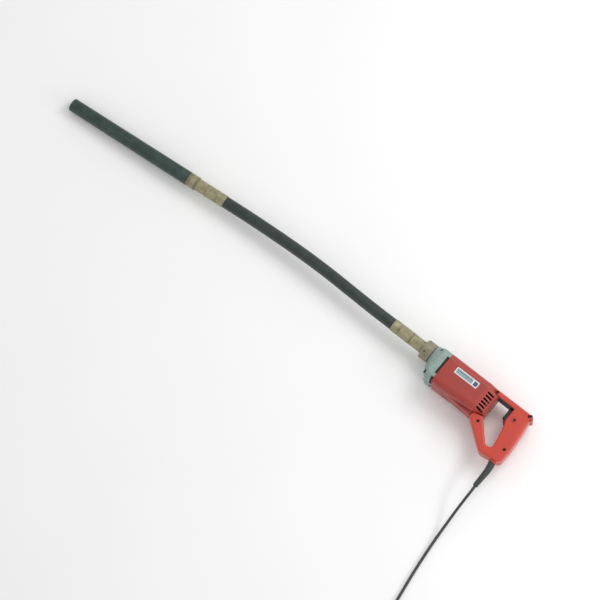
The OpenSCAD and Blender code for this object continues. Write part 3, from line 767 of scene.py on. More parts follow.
def even_out(piece: bpy.types.Object) -> None:
    """Lets large flat faces set the shading at their rims.

    Args:
        piece: The piece to shade.
    """
    step = piece.modifiers.new("Even shading", "WEIGHTED_NORMAL")
    step.keep_sharp = True
    step.weight = 80


def settle(
    piece: bpy.types.Object, carrier: Carrier, replaced: Sequence[str] = ()
) -> bpy.types.Object:
    """Puts a finished piece on its body.

    Args:
        piece: The finished piece.
        carrier: The body it rides on.
        replaced: The CAD nodes that it stands for.

    Returns:
        The same piece.
    """
    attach(piece, carrier.value)
    if replaced:
        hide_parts(*replaced)
    LOG.info("%s rides on %s", piece.name, carrier.value)
    return piece


def rounded_ring(
    x: float, middle: float, height: float, width: float, radius: float, steps: int = 9
) -> list[Vector]:
    """A rounded rectangle across X, as a ring of points.

    Args:
        x: The ring's station.
        middle: The Y of its middle.
        height: Its size along Y.
        width: Its size along Z.
        radius: Its corners' radius.
        steps: Straight pieces in each corner.

    Returns:
        The points, four corners of them.
    """
    ring = []
    for c, (sy, sz) in enumerate([(1, -1), (-1, -1), (-1, 1), (1, 1)]):
        for k in range(steps + 1):
            a = math.pi / 2 * (c + k / steps)
            ring.append(
                Vector(
                    (
                        x,
                        middle + sy * (height / 2 - radius) + radius * math.cos(a),
                        sz * (width / 2 - radius) - radius * math.sin(a),
                    )
                )
            )
    return ring


def read_off(line: Sequence[Pair], x: float) -> float:
    """The value of a line of points at a station, straight between its points.

    Args:
        line: The line's points, in order of station.
        x: The station.

    Returns:
        The value there, held level past both ends.
    """
    if x <= line[0][0]:
        return line[0][1]
    for (x0, y0), (x1, y1) in zip(line, line[1:]):
        if x <= x1:
            return y0 + (y1 - y0) * (x - x0) / max(x1 - x0, 1e-6)
    return line[-1][1]


def smoothed(path: Sequence[Vector], rounds: int = 4) -> list[Vector]:
    """Cuts a path's corners to a smooth curve that keeps its ends.

    Args:
        path: The points to ease.
        rounds: How often the corners are cut.

    Returns:
        The points of the smooth curve.
    """
    for _ in range(rounds):
        cut = [path[0]]
        for a, b in zip(path, path[1:]):
            cut += [a * 0.75 + b * 0.25, a * 0.25 + b * 0.75]
        path = cut + [path[-1]]
    return list(path)


def spaced(path: Sequence[Vector], step: float) -> list[Vector]:
    """Sets points along a path at about an even spacing.

    Args:
        path: The points to follow.
        step: The spacing wanted, in millimetres.

    Returns:
        The new points, both ends kept.
    """
    reach = [0.0]
    for a, b in zip(path, path[1:]):
        reach.append(reach[-1] + (b - a).length)
    count = max(2, round(reach[-1] / step))
    made, i = [], 0
    for k in range(count + 1):
        want = reach[-1] * k / count
        while i < len(path) - 2 and reach[i + 1] < want:
            i += 1
        share = (want - reach[i]) / max(reach[i + 1] - reach[i], 1e-9)
        made.append(path[i].lerp(path[i + 1], share))
    return made


# ---- Trees that repeat a shape ----


def new_tree(name: str, sockets: dict[str, str]) -> tuple[bpy.types.NodeTree, bpy.types.Node, dict[str, str]]:
    """Starts a geometry tree with named inputs.

    Args:
        name: The tree's name.
        sockets: Each input's name and socket type.

    Returns:
        The tree, its input node and each input's identifier.
    """
    tree = bpy.data.node_groups.new(name, "GeometryNodeTree")
    tree.interface.new_socket("Geometry", in_out="OUTPUT", socket_type="NodeSocketGeometry")
    tree.interface.new_socket("Geometry", in_out="INPUT", socket_type="NodeSocketGeometry")
    ids = {
        key: tree.interface.new_socket(key, in_out="INPUT", socket_type=kind).identifier
        for key, kind in sockets.items()
    }
    return tree, add(tree, "NodeGroupInput"), ids


def end_tree(tree: bpy.types.NodeTree, geometry: bpy.types.NodeSocket, finish: bpy.types.NodeSocket) -> None:
    """Ends a tree in real meshes with their finish set.

    Args:
        tree: The node tree.
        geometry: What the tree has made.
        finish: The tree's material input.
    """
    real = add(tree, "GeometryNodeRealizeInstances", {"Geometry": geometry}).outputs[0]
    done = add(tree, "GeometryNodeSetMaterial", {"Geometry": real, "Material": finish}).outputs[0]
    add(tree, "NodeGroupOutput", {0: done})


def repeat_tree() -> tuple[bpy.types.NodeTree, dict[str, str]]:
    """A tree that repeats one piece along a line, each copy turned further than the last.

    Returns:
        The tree and its inputs' identifiers.
    """
    tree, given, ids = new_tree(
        "Repeat along a line",
        {
            "Piece": "NodeSocketObject",
            "Count": "NodeSocketInt",
            "Step": "NodeSocketVector",
            "Turn step": "NodeSocketVector",
            "Finish": "NodeSocketMaterial",
        },
    )
    line = add(
        tree,
        "GeometryNodeMeshLine",
        {"Count": given.outputs["Count"], "Offset": given.outputs["Step"]},
        mode="OFFSET",
    ).outputs[0]
    shape = add(tree, "GeometryNodeObjectInfo", {"Object": given.outputs["Piece"]}).outputs["Geometry"]
    index = add(tree, "GeometryNodeInputIndex").outputs[0]
    turn = add(
        tree, "ShaderNodeVectorMath", {0: given.outputs["Turn step"], "Scale": index}, operation="SCALE"
    ).outputs[0]
    copies = add(
        tree, "GeometryNodeInstanceOnPoints", {"Points": line, "Instance": shape, "Rotation": turn}
    ).outputs[0]
    end_tree(tree, copies, given.outputs["Finish"])
    return tree, ids


def stud_tree() -> tuple[bpy.types.NodeTree, dict[str, str]]:
    """A tree that sets one piece on each given point, with its slot turned at random.

    Returns:
        The tree and its inputs' identifiers.
    """
    tree, given, ids = new_tree(
        "Set on points",
        {
            "Piece": "NodeSocketObject",
            "Axis": "NodeSocketVector",
            "Seed": "NodeSocketInt",
            "Finish": "NodeSocketMaterial",
        },
    )
    shape = add(tree, "GeometryNodeObjectInfo", {"Object": given.outputs["Piece"]}).outputs["Geometry"]
    spin = add(
        tree, "FunctionNodeRandomValue", {"Min": 0.0, "Max": math.tau, "Seed": given.outputs["Seed"]}
    )
    spin.data_type = "FLOAT"
    amount = next(o for o in spin.outputs if o.enabled)
    turn = add(
        tree, "ShaderNodeVectorMath", {0: given.outputs["Axis"], "Scale": amount}, operation="SCALE"
    ).outputs[0]
    copies = add(
        tree,
        "GeometryNodeInstanceOnPoints",
        {"Points": given.outputs["Geometry"], "Instance": shape, "Rotation": turn},
    ).outputs[0]
    end_tree(tree, copies, given.outputs["Finish"])
    return tree, ids


def rib_tree() -> tuple[bpy.types.NodeTree, dict[str, str]]:
    """A tree that sets round ribs along a path, which get smaller towards its end.

    Returns:
        The tree and its inputs' identifiers.
    """
    tree, given, ids = new_tree(
        "Ribs along a path",
        {
            "Count": "NodeSocketInt",
            "Root radius": "NodeSocketFloat",
            "Tip radius": "NodeSocketFloat",
            "Rib radius": "NodeSocketFloat",
            "Finish": "NodeSocketMaterial",
        },
    )
    path = add(tree, "GeometryNodeMeshToCurve", {0: given.outputs["Geometry"]}).outputs[0]
    stops = add(
        tree, "GeometryNodeCurveToPoints", {"Curve": path, "Count": given.outputs["Count"]}, mode="COUNT"
    )
    last = add(
        tree, "ShaderNodeMath", {0: given.outputs["Count"], 1: 1.0}, operation="SUBTRACT"
    ).outputs[0]
    index = add(tree, "GeometryNodeInputIndex").outputs[0]
    size = add(
        tree,
        "ShaderNodeMapRange",
        {
            "Value": index,
            "From Max": last,
            "To Min": given.outputs["Root radius"],
            "To Max": given.outputs["Tip radius"],
        },
    ).outputs["Result"]
    hoop = add(tree, "GeometryNodeCurvePrimitiveCircle", {"Resolution": 40, "Radius": 1.0}).outputs[0]
    section = add(
        tree,
        "GeometryNodeCurvePrimitiveCircle",
        {"Resolution": 8, "Radius": given.outputs["Rib radius"]},
    ).outputs[0]
    # Each hoop has radius one until it is scaled, so its section is drawn to its own size after
    rings = add(
        tree,
        "GeometryNodeInstanceOnPoints",
        {"Points": stops.outputs[0], "Instance": hoop, "Rotation": stops.outputs["Rotation"], "Scale": size},
    ).outputs[0]
    wires = add(tree, "GeometryNodeRealizeInstances", {"Geometry": rings}).outputs[0]
    ribs = add(tree, "GeometryNodeCurveToMesh", {"Curve": wires, "Profile Curve": section}).outputs[0]
    end_tree(tree, ribs, given.outputs["Finish"])
    return tree, ids


def grow(
    name: str,
    made: tuple[bpy.types.NodeTree, dict[str, str]],
    inputs: dict[str, Any],
    finish: Finish,
    points: Sequence[Vector] = (),
    joined: bool = False,
) -> bpy.types.Object:
    """Runs a geometry tree once and keeps its result as a plain mesh.

    Args:
        name: The piece's name.
        made: The tree and its inputs' identifiers.
        inputs: A value for each named input but the finish.
        finish: The finish of the result.
        points: Points in tool millimetres that the tree works on.
        joined: Whether the points are a path.

    Returns:
        The object, at the origin.
    """
    tree, ids = made
    mesh = bpy.data.meshes.new(name)
    edges = [(i, i + 1) for i in range(len(points) - 1)] if joined else []
    mesh.from_pydata([TO_ROW @ p for p in points], edges, [])
    piece = bpy.data.objects.new(name, mesh)
    bpy.context.scene.collection.objects.link(piece)
    step = piece.modifiers.new(tree.name, "NODES")
    step.node_group = tree
    for key, value in inputs.items():
        step[ids[key]] = value
    step[ids["Finish"]] = finish.material()
    settle_mesh(piece)
    for spare in [v for v in inputs.values() if isinstance(v, bpy.types.Object)]:
        bpy.data.objects.remove(spare)
    tidy(piece)
    crease_edges(piece, CREASE)
    return piece


def in_a_row(
    name: str, shape: bpy.types.Object, count: int, step: Sequence[float], finish: Finish
) -> bpy.types.Object:
    """Repeats one piece along a line.

    Args:
        name: The result's name.
        shape: The piece to repeat, which is used up.
        count: How many there are.
        step: From one to the next, in metres.
        finish: The finish of the result.

    Returns:
        The object, at the origin.
    """
    inputs = {"Piece": shape, "Count": count, "Step": step, "Turn step": (0, 0, 0)}
    return grow(name, repeat_tree(), inputs, finish)


# ---- The room ----


@dataclass
class Studio:
    """A pale floor, soft lights and the camera."""

    aim: Vector = field(default_factory=lambda: Vector((-0.4127, -0.0896, 0.0954)))
    azimuth: float = 38.84
    elevation: float = 73.2
    distance: float = 40.0
    field_m: float = 1.5

    def _back(self, azimuth: float, elevation: float) -> Vector:
        """The unit vector from the object towards a camera or light."""
        a, e = math.radians(azimuth), math.radians(elevation)
        return Vector((math.sin(a) * math.cos(e), -math.cos(a) * math.cos(e), math.sin(e)))

    def camera(self) -> None:
        """Makes the camera, far off with a long lens."""
        lens = bpy.data.cameras.new("Camera")
        lens.sensor_width = 36.0
        lens.lens = 36.0 * self.distance / self.field_m
        lens.clip_end = 100.0
        camera = bpy.data.objects.new("Camera", lens)
        back = self._back(self.azimuth, self.elevation)
        camera.location = self.aim + back * self.distance
        camera.rotation_euler = (-back).to_track_quat("-Z", "Y").to_euler()
        bpy.context.scene.collection.objects.link(camera)
        bpy.context.scene.camera = camera

    def _softbox(
        self, name: str, azimuth: float, elevation: float, far: float, size: Pair, power: float
    ) -> None:
        """Adds one area light that faces the object.

        Args:
            name: The light's name.
            azimuth: Its angle round the object, in degrees.
            elevation: Its angle up, in degrees.
            far: How far off it is, in metres.
            size: Its two sides, in metres.
            power: Its power in watts.
        """
        lamp = bpy.data.lights.new(name, "AREA")
        lamp.shape = "RECTANGLE"
        lamp.size, lamp.size_y = size
        lamp.energy = power
        light = bpy.data.objects.new(name, lamp)
        back = self._back(azimuth, elevation)
        light.location = self.aim + back * far
        light.rotation_euler = (-back).to_track_quat("-Z", "Y").to_euler()
        bpy.context.scene.collection.objects.link(light)

    def build(self) -> None:
        """Makes the floor, the sky and the lights."""
        sheet = bpy.data.meshes.new("floor")
        edge, level = 12.0, -0.0002
        sheet.from_pydata(
            [(-edge, -edge, level), (edge, -edge, level), (edge, edge, level), (-edge, edge, level)],
            [],
            [(0, 1, 2, 3)],
        )
        paper = Finish("white_backdrop_paper", "#fcfcfc", "#f9f9f9", 0.9, patch_mm=400, grain_mm=3.0)
        sheet.materials.append(paper.material())
        floor = bpy.data.objects.new("floor", sheet)
        bpy.context.scene.collection.objects.link(floor)
        world = bpy.data.worlds.new("Studio")
        world.use_nodes = True
        world.node_tree.nodes["Background"].inputs[0].default_value = (1.0, 1.0, 1.0, 1.0)
        world.node_tree.nodes["Background"].inputs[1].default_value = 0.72
        bpy.context.scene.world = world
        self._softbox("key_softbox", 158.0, 48.0, 3.2, (1.5, 1.5), 30.0)
        self._softbox("side_strip", 100.0, 24.0, 2.6, (2.6, 0.4), 14.0)
        bpy.context.scene.view_settings.view_transform = "Standard"


# ---- The mains lead ----


@dataclass
class MainsLead:
    """The boot, the cord on the ground with its unseen length coiled, and the plug."""

    diameter: float = 7.5
    boot_length: float = 77.0
    boot_root: float = 19.0
    boot_tip: float = 12.5
    rib_count: int = 11
    coil_x: float = 344.0
    coil_y: float = -610.0
    coil_mean: float = 42.0
    columns: int = 4
    steps_per_turn: int = 24
    strap_slack: float = 0.6
    lying: float = 0.1
    boot_start: Vector = field(default_factory=lambda: Vector((246.0, -104.5, 0.0)))
    lean: Vector = field(default_factory=lambda: Vector((5.0, -78.5, -4.0)).normalized())
    plug: Vector = field(default_factory=lambda: Vector((398.0, -552.0, -31.0)))

    @property
    def ground(self) -> float:
        """The height of the cord's middle where it lies on the ground."""
        return REST_SIDE + self.diameter / 2

    @property
    def exit(self) -> Vector:
        """Where the cord leaves its boot."""
        return self.boot_start + self.lean * self.boot_length

    def route(self) -> list[Vector]:
        """The cord's whole centreline, from the boot through the coil to the plug.

        Returns:
            The points, in tool millimetres.
        """
        g = self.ground
        laid = [
            self.exit, self.exit + self.lean * 16, Vector((251.5, -218, -8.5)),
            Vector((251.5, -240, -14)), Vector((251.5, -262, -20.5)), Vector((252, -284, -27)),
            Vector((252.5, -306, -32.5)), Vector((253.5, -328, -36.5)), Vector((255, -350, -39)),
            Vector((257, -372, g)), Vector((259.5, -394, g)), Vector((262, -416, g)),
            Vector((265, -438, g)), Vector((268, -460, g)), Vector((271.5, -482, g)),
            Vector((275, -504, g)), Vector((278.5, -526, g)), Vector((282, -548, g)),
            Vector((285.5, -568, g)), Vector((288.5, -588, g)),
        ]
        return laid + self._coil() + [
            Vector((397.5, -596, g + self.diameter)), Vector((397.8, -582, g + self.diameter + 0.6)),
            Vector((398, -568, self.plug.z - 0.3)), self.plug + Vector((0, 4, 0)),
        ]

    def _coil(self) -> list[Vector]:
        """The turns: out to in on the ground, up, then in to out on top of them.

        Returns:
            The turns' points, in tool millimetres.
        """
        outer = self.coil_mean + (self.columns - 1) / 2 * self.diameter
        inner = self.coil_mean - (self.columns - 1) / 2 * self.diameter
        turns = []
        down = self.columns * self.steps_per_turn
        rise = self.steps_per_turn // 2
        up = round((self.columns - 0.5) * self.steps_per_turn)
        for k in range(down + up + 1):
            angle = math.pi + 2 * math.pi * k / self.steps_per_turn
            if k <= down:
                share, level = k / down, 0.0
                radius = outer + (inner - outer) * share * down / (down - self.steps_per_turn)
                radius = max(radius, inner)
            else:
                share = (k - down) / up
                radius = inner + (outer - inner) * share
                level = self.diameter
            lift = (k - down + rise) / rise
            if 0 < lift < 1:
                level = self.diameter * (3 * lift**2 - 2 * lift**3)
            turns.append(
                Vector(
                    (
                        self.coil_x + radius * math.cos(angle),
                        self.coil_y + radius * math.sin(angle),
                        self.ground + level,
                    )
                )
            )
        return turns

    def cord(self) -> bpy.types.Object:
        """Makes the cord as one open line with thickness.

        Returns:
            The cord, on its body.
        """
        line = bpy.data.curves.new("mains_lead", "CURVE")
        line.dimensions = "3D"
        line.bevel_depth = self.diameter / 2 * MM
        line.bevel_resolution = 4
        line.use_fill_caps = True
        spline = line.splines.new("POLY")
        path = [TO_ROW @ p for p in smoothed(self.route(), 2)]
        spline.points.add(len(path) - 1)
        for point, place in zip(spline.points, path):
            point.co = (*place, 1.0)
        line.materials.append(CORD_RUBBER.material())
        cord = bpy.data.objects.new("mains_lead", line)
        bpy.context.scene.collection.objects.link(cord)
        for flat in line.splines:
            flat.use_smooth = True
        return settle(cord, Carrier.MOTOR, ("mains_cord", "cord_coil", "cord_tail"))

    def boot(self) -> None:
        """Makes the tapered boot, bowed a little, with its ribs."""
        start, end = self.boot_start, self.exit
        bow = Matrix.Rotation(math.radians(13), 3, "Z") @ self.lean
        path = []
        for k in range(25):
            t = k / 24
            path.append(
                start * (1 - t) ** 3
                + (start + bow * 28) * 3 * t * (1 - t) ** 2
                + (end - self.lean * 26) * 3 * t**2 * (1 - t)
                + end * t**3
            )
        path = [start - bow * 6, *path]

        def radius(share: float) -> float:
            """The boot's radius at a share of its length."""
            body = self.boot_root - (self.boot_root - self.boot_tip) * share
            return body / 2 - (0.8 if share > 0.99 else 0.0)

        skin = Shell.tube(path, radius, self.diameter / 2 + 0.05, sides=40)
        boot = skin.piece("cord_boot_skin", CORD_RUBBER)
        settle(boot, Carrier.MOTOR, ("cord_boot",))
        ring = eased([(-3, 9.4, 0), (3.5, 9.4, 0.4), (3.5, 10.6, 1.0), (-3, 12.0, 0)], steps=4)
        collar = Shell.turned(ring, sides=48).moved(placement(start, self.lean))
        collar = collar.piece("boot_collar", HANDLE_RED)
        settle(collar, Carrier.MOTOR)
        ribs = grow(
            "cord_boot_ribs",
            rib_tree(),
            {
                "Count": self.rib_count,
                "Root radius": (self.boot_root - 1.2) / 2 * MM,
                "Tip radius": (self.boot_tip + 0.1) / 2 * MM,
                "Rib radius": 1.0 * MM,
            },
            CORD_RUBBER,
            points=path[3:-1],
            joined=True,
        )
        settle(ribs, Carrier.MOTOR)

    def plug_body(self) -> bpy.types.Object:
        """Makes the moulded plug, with a waist to pull it by.

        Returns:
            The plug, on its body.
        """
        stations = [
            (0.0, 5.4, 5.4), (4.0, 6.0, 6.0), (12.0, 8.6, 8.6), (16.0, 12.4, 10.6), (20.0, 16.0, 11.6),
            (25.0, 17.2, 12.0), (30.0, 16.8, 11.7), (36.0, 17.6, 12.2), (40.4, 17.7, 12.25),
            (41.6, 17.2, 11.8), (42.0, 16.2, 10.8),
        ]
        rings = []
        for y, wide, high in stations:
            ring = []
            for k in range(48):
                a = 2 * math.pi * k / 48
                c, s = math.cos(a), math.sin(a)
                grip = 2 / 2.6
                ring.append(
                    self.plug
                    + Vector(
                        (
                            wide * math.copysign(abs(c) ** grip, c),
                            y,
                            high * math.copysign(abs(s) ** grip, s),
                        )
                    )
                )
            rings.append(ring)
        body = Shell.loft(rings).piece("plug_moulding", BLACK_POLYAMIDE)
        even_out(body)
        return settle(body, Carrier.MOTOR, ("plug_body",))

    def tie(self) -> bpy.types.Object:
        """Makes the strap that holds the coil together, round its section.

        Returns:
            The strap, on its body.
        """
        half = self.columns * self.diameter / 2 + self.strap_slack
        outline = rectangle(-half, self.lying, half, 2 * self.diameter + self.strap_slack, 3.0)
        rings = []
        for x, z in outline.ring(0.0, 4):
            out = Vector((x, z - self.diameter)).normalized() * 1.0
            foot = max(z, self.lying)
            side = self.coil_y - self.coil_mean + x
            rings.append(
                [
                    Vector((self.coil_x + w, side + ox, REST_SIDE + max(foot + oz, self.lying / 2)))
                    for w, ox, oz in ((-3, 0, 0), (3, 0, 0), (3, out.x, out.y), (-3, out.x, out.y))
                ]
            )
        strap = Shell.loft(rings, looped=True).piece("coil_tie", BLACK_POLYAMIDE)
        return settle(strap, Carrier.MOTOR)

    def build(self) -> None:
        cord = self.cord()
        self.boot()
        plug = self.plug_body()
        strap = self.tie()


# ---- Hose and head ----


def joint(name: str) -> dict[str, Any]:
    """One of the record's joints."""
    return next(j for j in frame["joints"] if j["name"] == name)


def tool(place: Sequence[float]) -> Vector:
    """A place in the row frame, in tool millimetres."""
    return TO_ROW.inverted() @ Vector(place)


@dataclass
class HoseRun:
    """The rubber hose in three lengths, each with one bend where a hinge lies."""

    outer: float = 30.5
    bore: float = 16.0
    start_x: float = -160.0
    front: float = 113.0
    tucked: float = 14.0
    bend_reach: float = 66.0
    ring_step: float = 5.0

    def build(self) -> None:
        """Makes the three lengths, cut half-way between the hinges."""
        names = ("hose_bend_rear", "hose_bend_middle", "hose_bend_front")
        bends = [tool(joint(name)["pos_m"]) for name in names]
        way = -Vector(joint("rotor_spin")["axis"])
        line = [Vector((self.start_x, SPINDLE_Y, 0.0)), *bends, bends[2] + way * (self.front + self.tucked)]
        path = spaced(smoothed(line, 5), self.ring_step)
        cuts = [0]
        for a, b in zip(bends, bends[1:]):
            middle = (a + b) / 2
            cuts.append(min(range(len(path)), key=lambda i: (path[i] - middle).length))
        cuts.append(len(path) - 1)
        nodes = (("hose_rear",), ("hose_second",), ("hose_third", "hose_front"))
        for i, bend in enumerate(bends):
            run = path[cuts[i] : cuts[i + 1] + 1]
            piece = Shell.tube(run, lambda _: self.outer / 2, self.bore / 2, sides=56).piece(
                f"hose_length_{i + 1}", HOSE_RUBBER
            )
            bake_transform(piece)
            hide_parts(*nodes[i])


def crimped(bands: Sequence[Station], bore: float, flats: int = 8, sides: int = 128) -> Shell:
    """A sleeve with crimped bands.

    Args:
        bands: Each station's X, outer radius, depth of the flats there and their turn in degrees.
        bore: The inner radius.
        flats: How many flats a crimp has.
        sides: Straight pieces around it.

    Returns:
        The closed shell about local X.
    """
    rings = []
    for x, outer, depth, phase in bands:
        ring = []
        for k in range(sides):
            a = 2 * math.pi * k / sides
            step = 2 * math.pi / flats
            local = (a - math.radians(phase)) % step - step / 2
            r = min(outer, (outer - depth) / math.cos(local)) if depth else outer
            ring.append(Vector((x, r * math.cos(a), r * math.sin(a))))
        rings.append(ring)
    for x in (bands[-1][0], bands[0][0]):
        angles = [2 * math.pi * k / sides for k in range(sides)]
        rings.append([Vector((x, bore * math.cos(a), bore * math.sin(a))) for a in angles])
    return Shell.loft(rings, looped=True)


def band(x0: float, x1: float, outer: float, depth: float, phase: float) -> list[Station]:
    """One crimped band with eased ends, as stations for crimped().

    Args:
        x0: Where the band starts.
        x1: Where it ends.
        outer: Its outer radius.
        depth: How deep its flats are.
        phase: How far its flats are turned, in degrees.

    Returns:
        Eight stations.
    """
    return [
        (x0, outer - 0.8, 0.0, phase), (x0 + 0.7, outer - 0.1, 0.0, phase), (x0 + 1.8, outer, 0.0, phase),
        (x0 + 3.2, outer, depth, phase), (x1 - 3.2, outer, depth, phase), (x1 - 1.8, outer, 0.0, phase),
        (x1 - 0.7, outer - 0.1, 0.0, phase), (x1, outer - 0.8, 0.0, phase),
    ]


@dataclass
class VibratingHead:
    """The steel head with its collar and crimped sleeve, about the last hinge."""

    root_r: float = 18.0
    tip_r: float = 17.0
    length: float = 357.0
    bore_r: float = 14.0
    tip_length: float = 42.0
    start: float = 223.0
    sleeve_start: float = 113.0
    sleeve_end: float = 198.0

    @property
    def place(self) -> Matrix:
        """Local X from the last hinge, away from the head."""
        return placement(tool(joint("hose_bend_front")["pos_m"]), Vector(joint("rotor_spin")["axis"]))

    def tube(self) -> None:
        """Makes the head's tube, with its bore, and its tip plug."""
        seam_r = self.tip_r + (self.root_r - self.tip_r) * self.tip_length / self.length
        front, back = -self.start - self.length, -self.start
        seam = front + self.tip_length
        skin = eased(
            [
                (seam, self.bore_r, 0.0), (seam, seam_r, 0.7), (back, self.root_r, 1.2),
                (back, self.bore_r, 0.0),
            ],
            steps=3,
        )
        tube = Shell.turned(skin).moved(self.place).piece("head_barrel", HEAD_STEEL)
        settle(tube, Carrier.HEAD, ("head_tube",))
        nose = eased(
            [
                (front, 0.0, 0.0), (front, self.tip_r - 3.0, 1.2), (front + 3.2, self.tip_r, 2.2),
                (seam, seam_r, 0.7), (seam, self.bore_r - 0.05, 0.0), (seam + 11.6, self.bore_r - 0.05, 1.0),
                (seam + 11.6, 0.0, 0.0),
            ],
            closed=False,
            steps=4,
        )
        tip = Shell.turned(nose, looped=False).moved(self.place).piece("head_nose", HEAD_STEEL)
        settle(tip, Carrier.HEAD, ("head_tip",))

    def fittings(self) -> None:
        """Makes the crimped sleeve and the collar with its spanner flats."""
        s0, s1 = -self.sleeve_end, -self.sleeve_start
        bands = (
            band(s0, s0 + 30, 15.75, 0.5, 10)
            + band(s0 + 30.2, s1 - 24, 16.25, 0.8, 28)
            + band(s1 - 23.8, s1, 16.1, 0.6, 12)
        )
        sleeve = crimped(bands, 13.5).moved(self.place).piece("head_sleeve_crimped", BRONZE, CRIMP_CREASE)
        settle(sleeve, Carrier.HEAD, ("head_sleeve",))
        collar_bands = [
            (-self.start, 17.0, 0.0, 0), (-self.start + 0.8, 17.75, 0.0, 0), (-self.start + 8, 17.75, 0.0, 0),
            (-self.start + 8.6, 17.75, 2.0, 20), (-self.start + 19.4, 17.75, 2.0, 20),
            (-self.start + 20, 17.75, 0.0, 0), (s0 - 0.8, 17.75, 0.0, 0), (s0, 17.0, 0.0, 0),
        ]
        collar = crimped(collar_bands, 8.0, flats=6).moved(self.place)
        collar = collar.piece("head_collar_flats", BRONZE, CRIMP_CREASE)
        settle(collar, Carrier.HEAD)

    def build(self) -> None:
        """Makes the whole head."""
        self.tube()
        self.fittings()


# ---- Gear end ----


@dataclass
class GearEnd:
    """The cast cover with its screws, the coupling nut and the drive-side ferrules."""

    slot_end: float = 2.0
    slot_w: float = 6.5
    cover_front: float = -43.0
    nut_front: float = -71.5
    nut_r: float = 26.0
    nose_r: float = 21.0
    ferrule_r: float = 16.75
    coupler_start: float = -111.5
    ferrule_start: float = -169.5
    height: float = 91.0
    depth: float = 88.0
    corner: float = 18.0
    screw_y: float = 33.9
    screw_z: float = 32.4
    screw_seat: float = -24.0

    def _stations(self) -> list[tuple[float, float, float, float, float]]:
        """X, middle, height, width and corner radius of the cover's rings, nose to skirt.

        Returns:
            The rings, from nose to skirt.
        """
        shapes = {
            "middle": [(-43, 19, 0), (-33, 8, 6), (-21, 0, 6), (2, 0, 0)],
            "height": [(-43, 54, 0), (-33, 78, 7), (-21, 91, 6), (2, 91, 0)],
            "width": [(-43, 54, 0), (-33, 78, 7), (-21, 88, 6), (2, 88, 0)],
            "radius": [(-43, 27, 0), (-33, 38, 7), (-21, 18, 5), (2, 18, 0)],
        }
        lines = {key: eased(value, closed=False) for key, value in shapes.items()}
        stops = [-43, -42.4, *range(-41, -22, 2), -22, -21, -20, -19, -17, -8, 1.2, 2]
        made = []
        for x in stops:
            trim = 0.8 if x in (-43, 2) else 0.0
            middle, high, wide, radius = (read_off(line, x) for line in lines.values())
            radius = min(radius, high / 2, wide / 2)
            made.append((x, middle, high - 2 * trim, wide - 2 * trim, max(radius - trim, 1)))
        return made

    def _rod(self, x0: float, x1: float, r: float, y: float = 0.0, z: float = 0.0) -> bpy.types.Object:
        """A plain round cutter along X."""
        shell = Shell.turned([(x0, 0.0), (x0, r), (x1, r), (x1, 0.0)], looped=False, sides=40)
        return shell.moved(Matrix.Translation((0, y, z))).piece("cutter", CAST_ALLOY)

    def _room(self, x0: float, x1: float, inset: float) -> bpy.types.Object:
        """A cutter of the casing's outline, drawn in.

        Args:
            x0: Its front.
            x1: Its rear.
            inset: How far it is drawn in.

        Returns:
            The cutter.
        """
        rings = [
            rounded_ring(x, 0.0, self.height - 2 * inset, self.depth - 2 * inset, self.corner - inset)
            for x in (x0, x1)
        ]
        return Shell.loft(rings).piece("cutter", CAST_ALLOY)

    def _block(self, low: Cornered, high: Cornered) -> bpy.types.Object:
        """A box cutter."""
        flat = rectangle(low[0], low[1], high[0], high[1])
        return Shell.slab(flat, low[2], high[2], 0.0).piece("cutter", CAST_ALLOY)

    def cover(self) -> None:
        """Makes the cover: dome, skirt, nose, bores, screw pockets and cooling slots."""
        rings = [rounded_ring(*station, steps=10) for station in self._stations()]
        cover = Shell.loft(rings).piece("gear_cover_casting", CAST_ALLOY)
        nose = self._rod(self.cover_front - 11, self.cover_front + 4, self.nose_r, SPINDLE_Y)
        carve(cover, [nose], "UNION")
        skirt = self.slot_end - self.slot_w
        s = SPINDLE_Y
        cutters = [
            self._rod(-60, -39, 13.0, s), self._rod(-41, -30, 16.0, s), self._rod(-31, -10, 15.0, s),
            self._rod(-28, -10, 8.5), self._room(-11.5, 3.5, 6.4), self._room(skirt, 3.2, 3.9),
            self._block((skirt, -24, -60), (3, 29.6, 60)),
            self._block((skirt, -60, 6), (3, -34, 60)), self._block((skirt, -60, -60), (3, -34, -6)),
            self._block((skirt, 39, -20), (3, 60, 20)),
        ]
        for sy in (1, -1):
            for sz in (1, -1):
                at = (sy * self.screw_y, sz * self.screw_z)
                cutters.append(self._rod(-50, self.screw_seat, 5.5, *at))
                cutters.append(self._rod(-26, -9, 2.8, *at))
        carve(cover, cutters)
        rounded = cover.modifiers.new("Cast edges", "BEVEL")
        rounded.width = 0.35 * MM
        rounded.segments = 2
        rounded.limit_method = "ANGLE"
        rounded.angle_limit = math.radians(50)
        settle_mesh(cover)
        crease_edges(cover, 42.0)
        even_out(cover)
        settle(cover, Carrier.MOTOR, ("gear_cover",))

    def screws(self) -> None:
        """Sets the four socket screws of the cover."""
        profile = [(-5, 0, 0), (-5, 4.5, 0.8), (0, 4.5, 0.2), (0, 2.5, 0), (26, 2.5, 0.4), (26, 0, 0)]
        head = Shell.turned(eased(profile, closed=False), looped=False, sides=36)
        head = head.moved(ABOUT_ORIGIN).piece("screw", BLACK_OXIDE)
        socket = Shell.turned([(-6, 0), (-6, 2.3), (-2, 2.3), (-2, 0)], looped=False, sides=6)
        carve(head, [socket.moved(ABOUT_ORIGIN).piece("socket", BLACK_OXIDE)])
        sides = [(y, z) for y in (1, -1) for z in (1, -1)]
        points = [Vector((self.screw_seat, y * self.screw_y, z * self.screw_z)) for y, z in sides]
        inputs = {"Piece": head, "Axis": (1, 0, 0), "Seed": 3}
        made = grow("cover_socket_screws", stud_tree(), inputs, BLACK_OXIDE, points)
        settle(made, Carrier.MOTOR, ("cover_screws",))

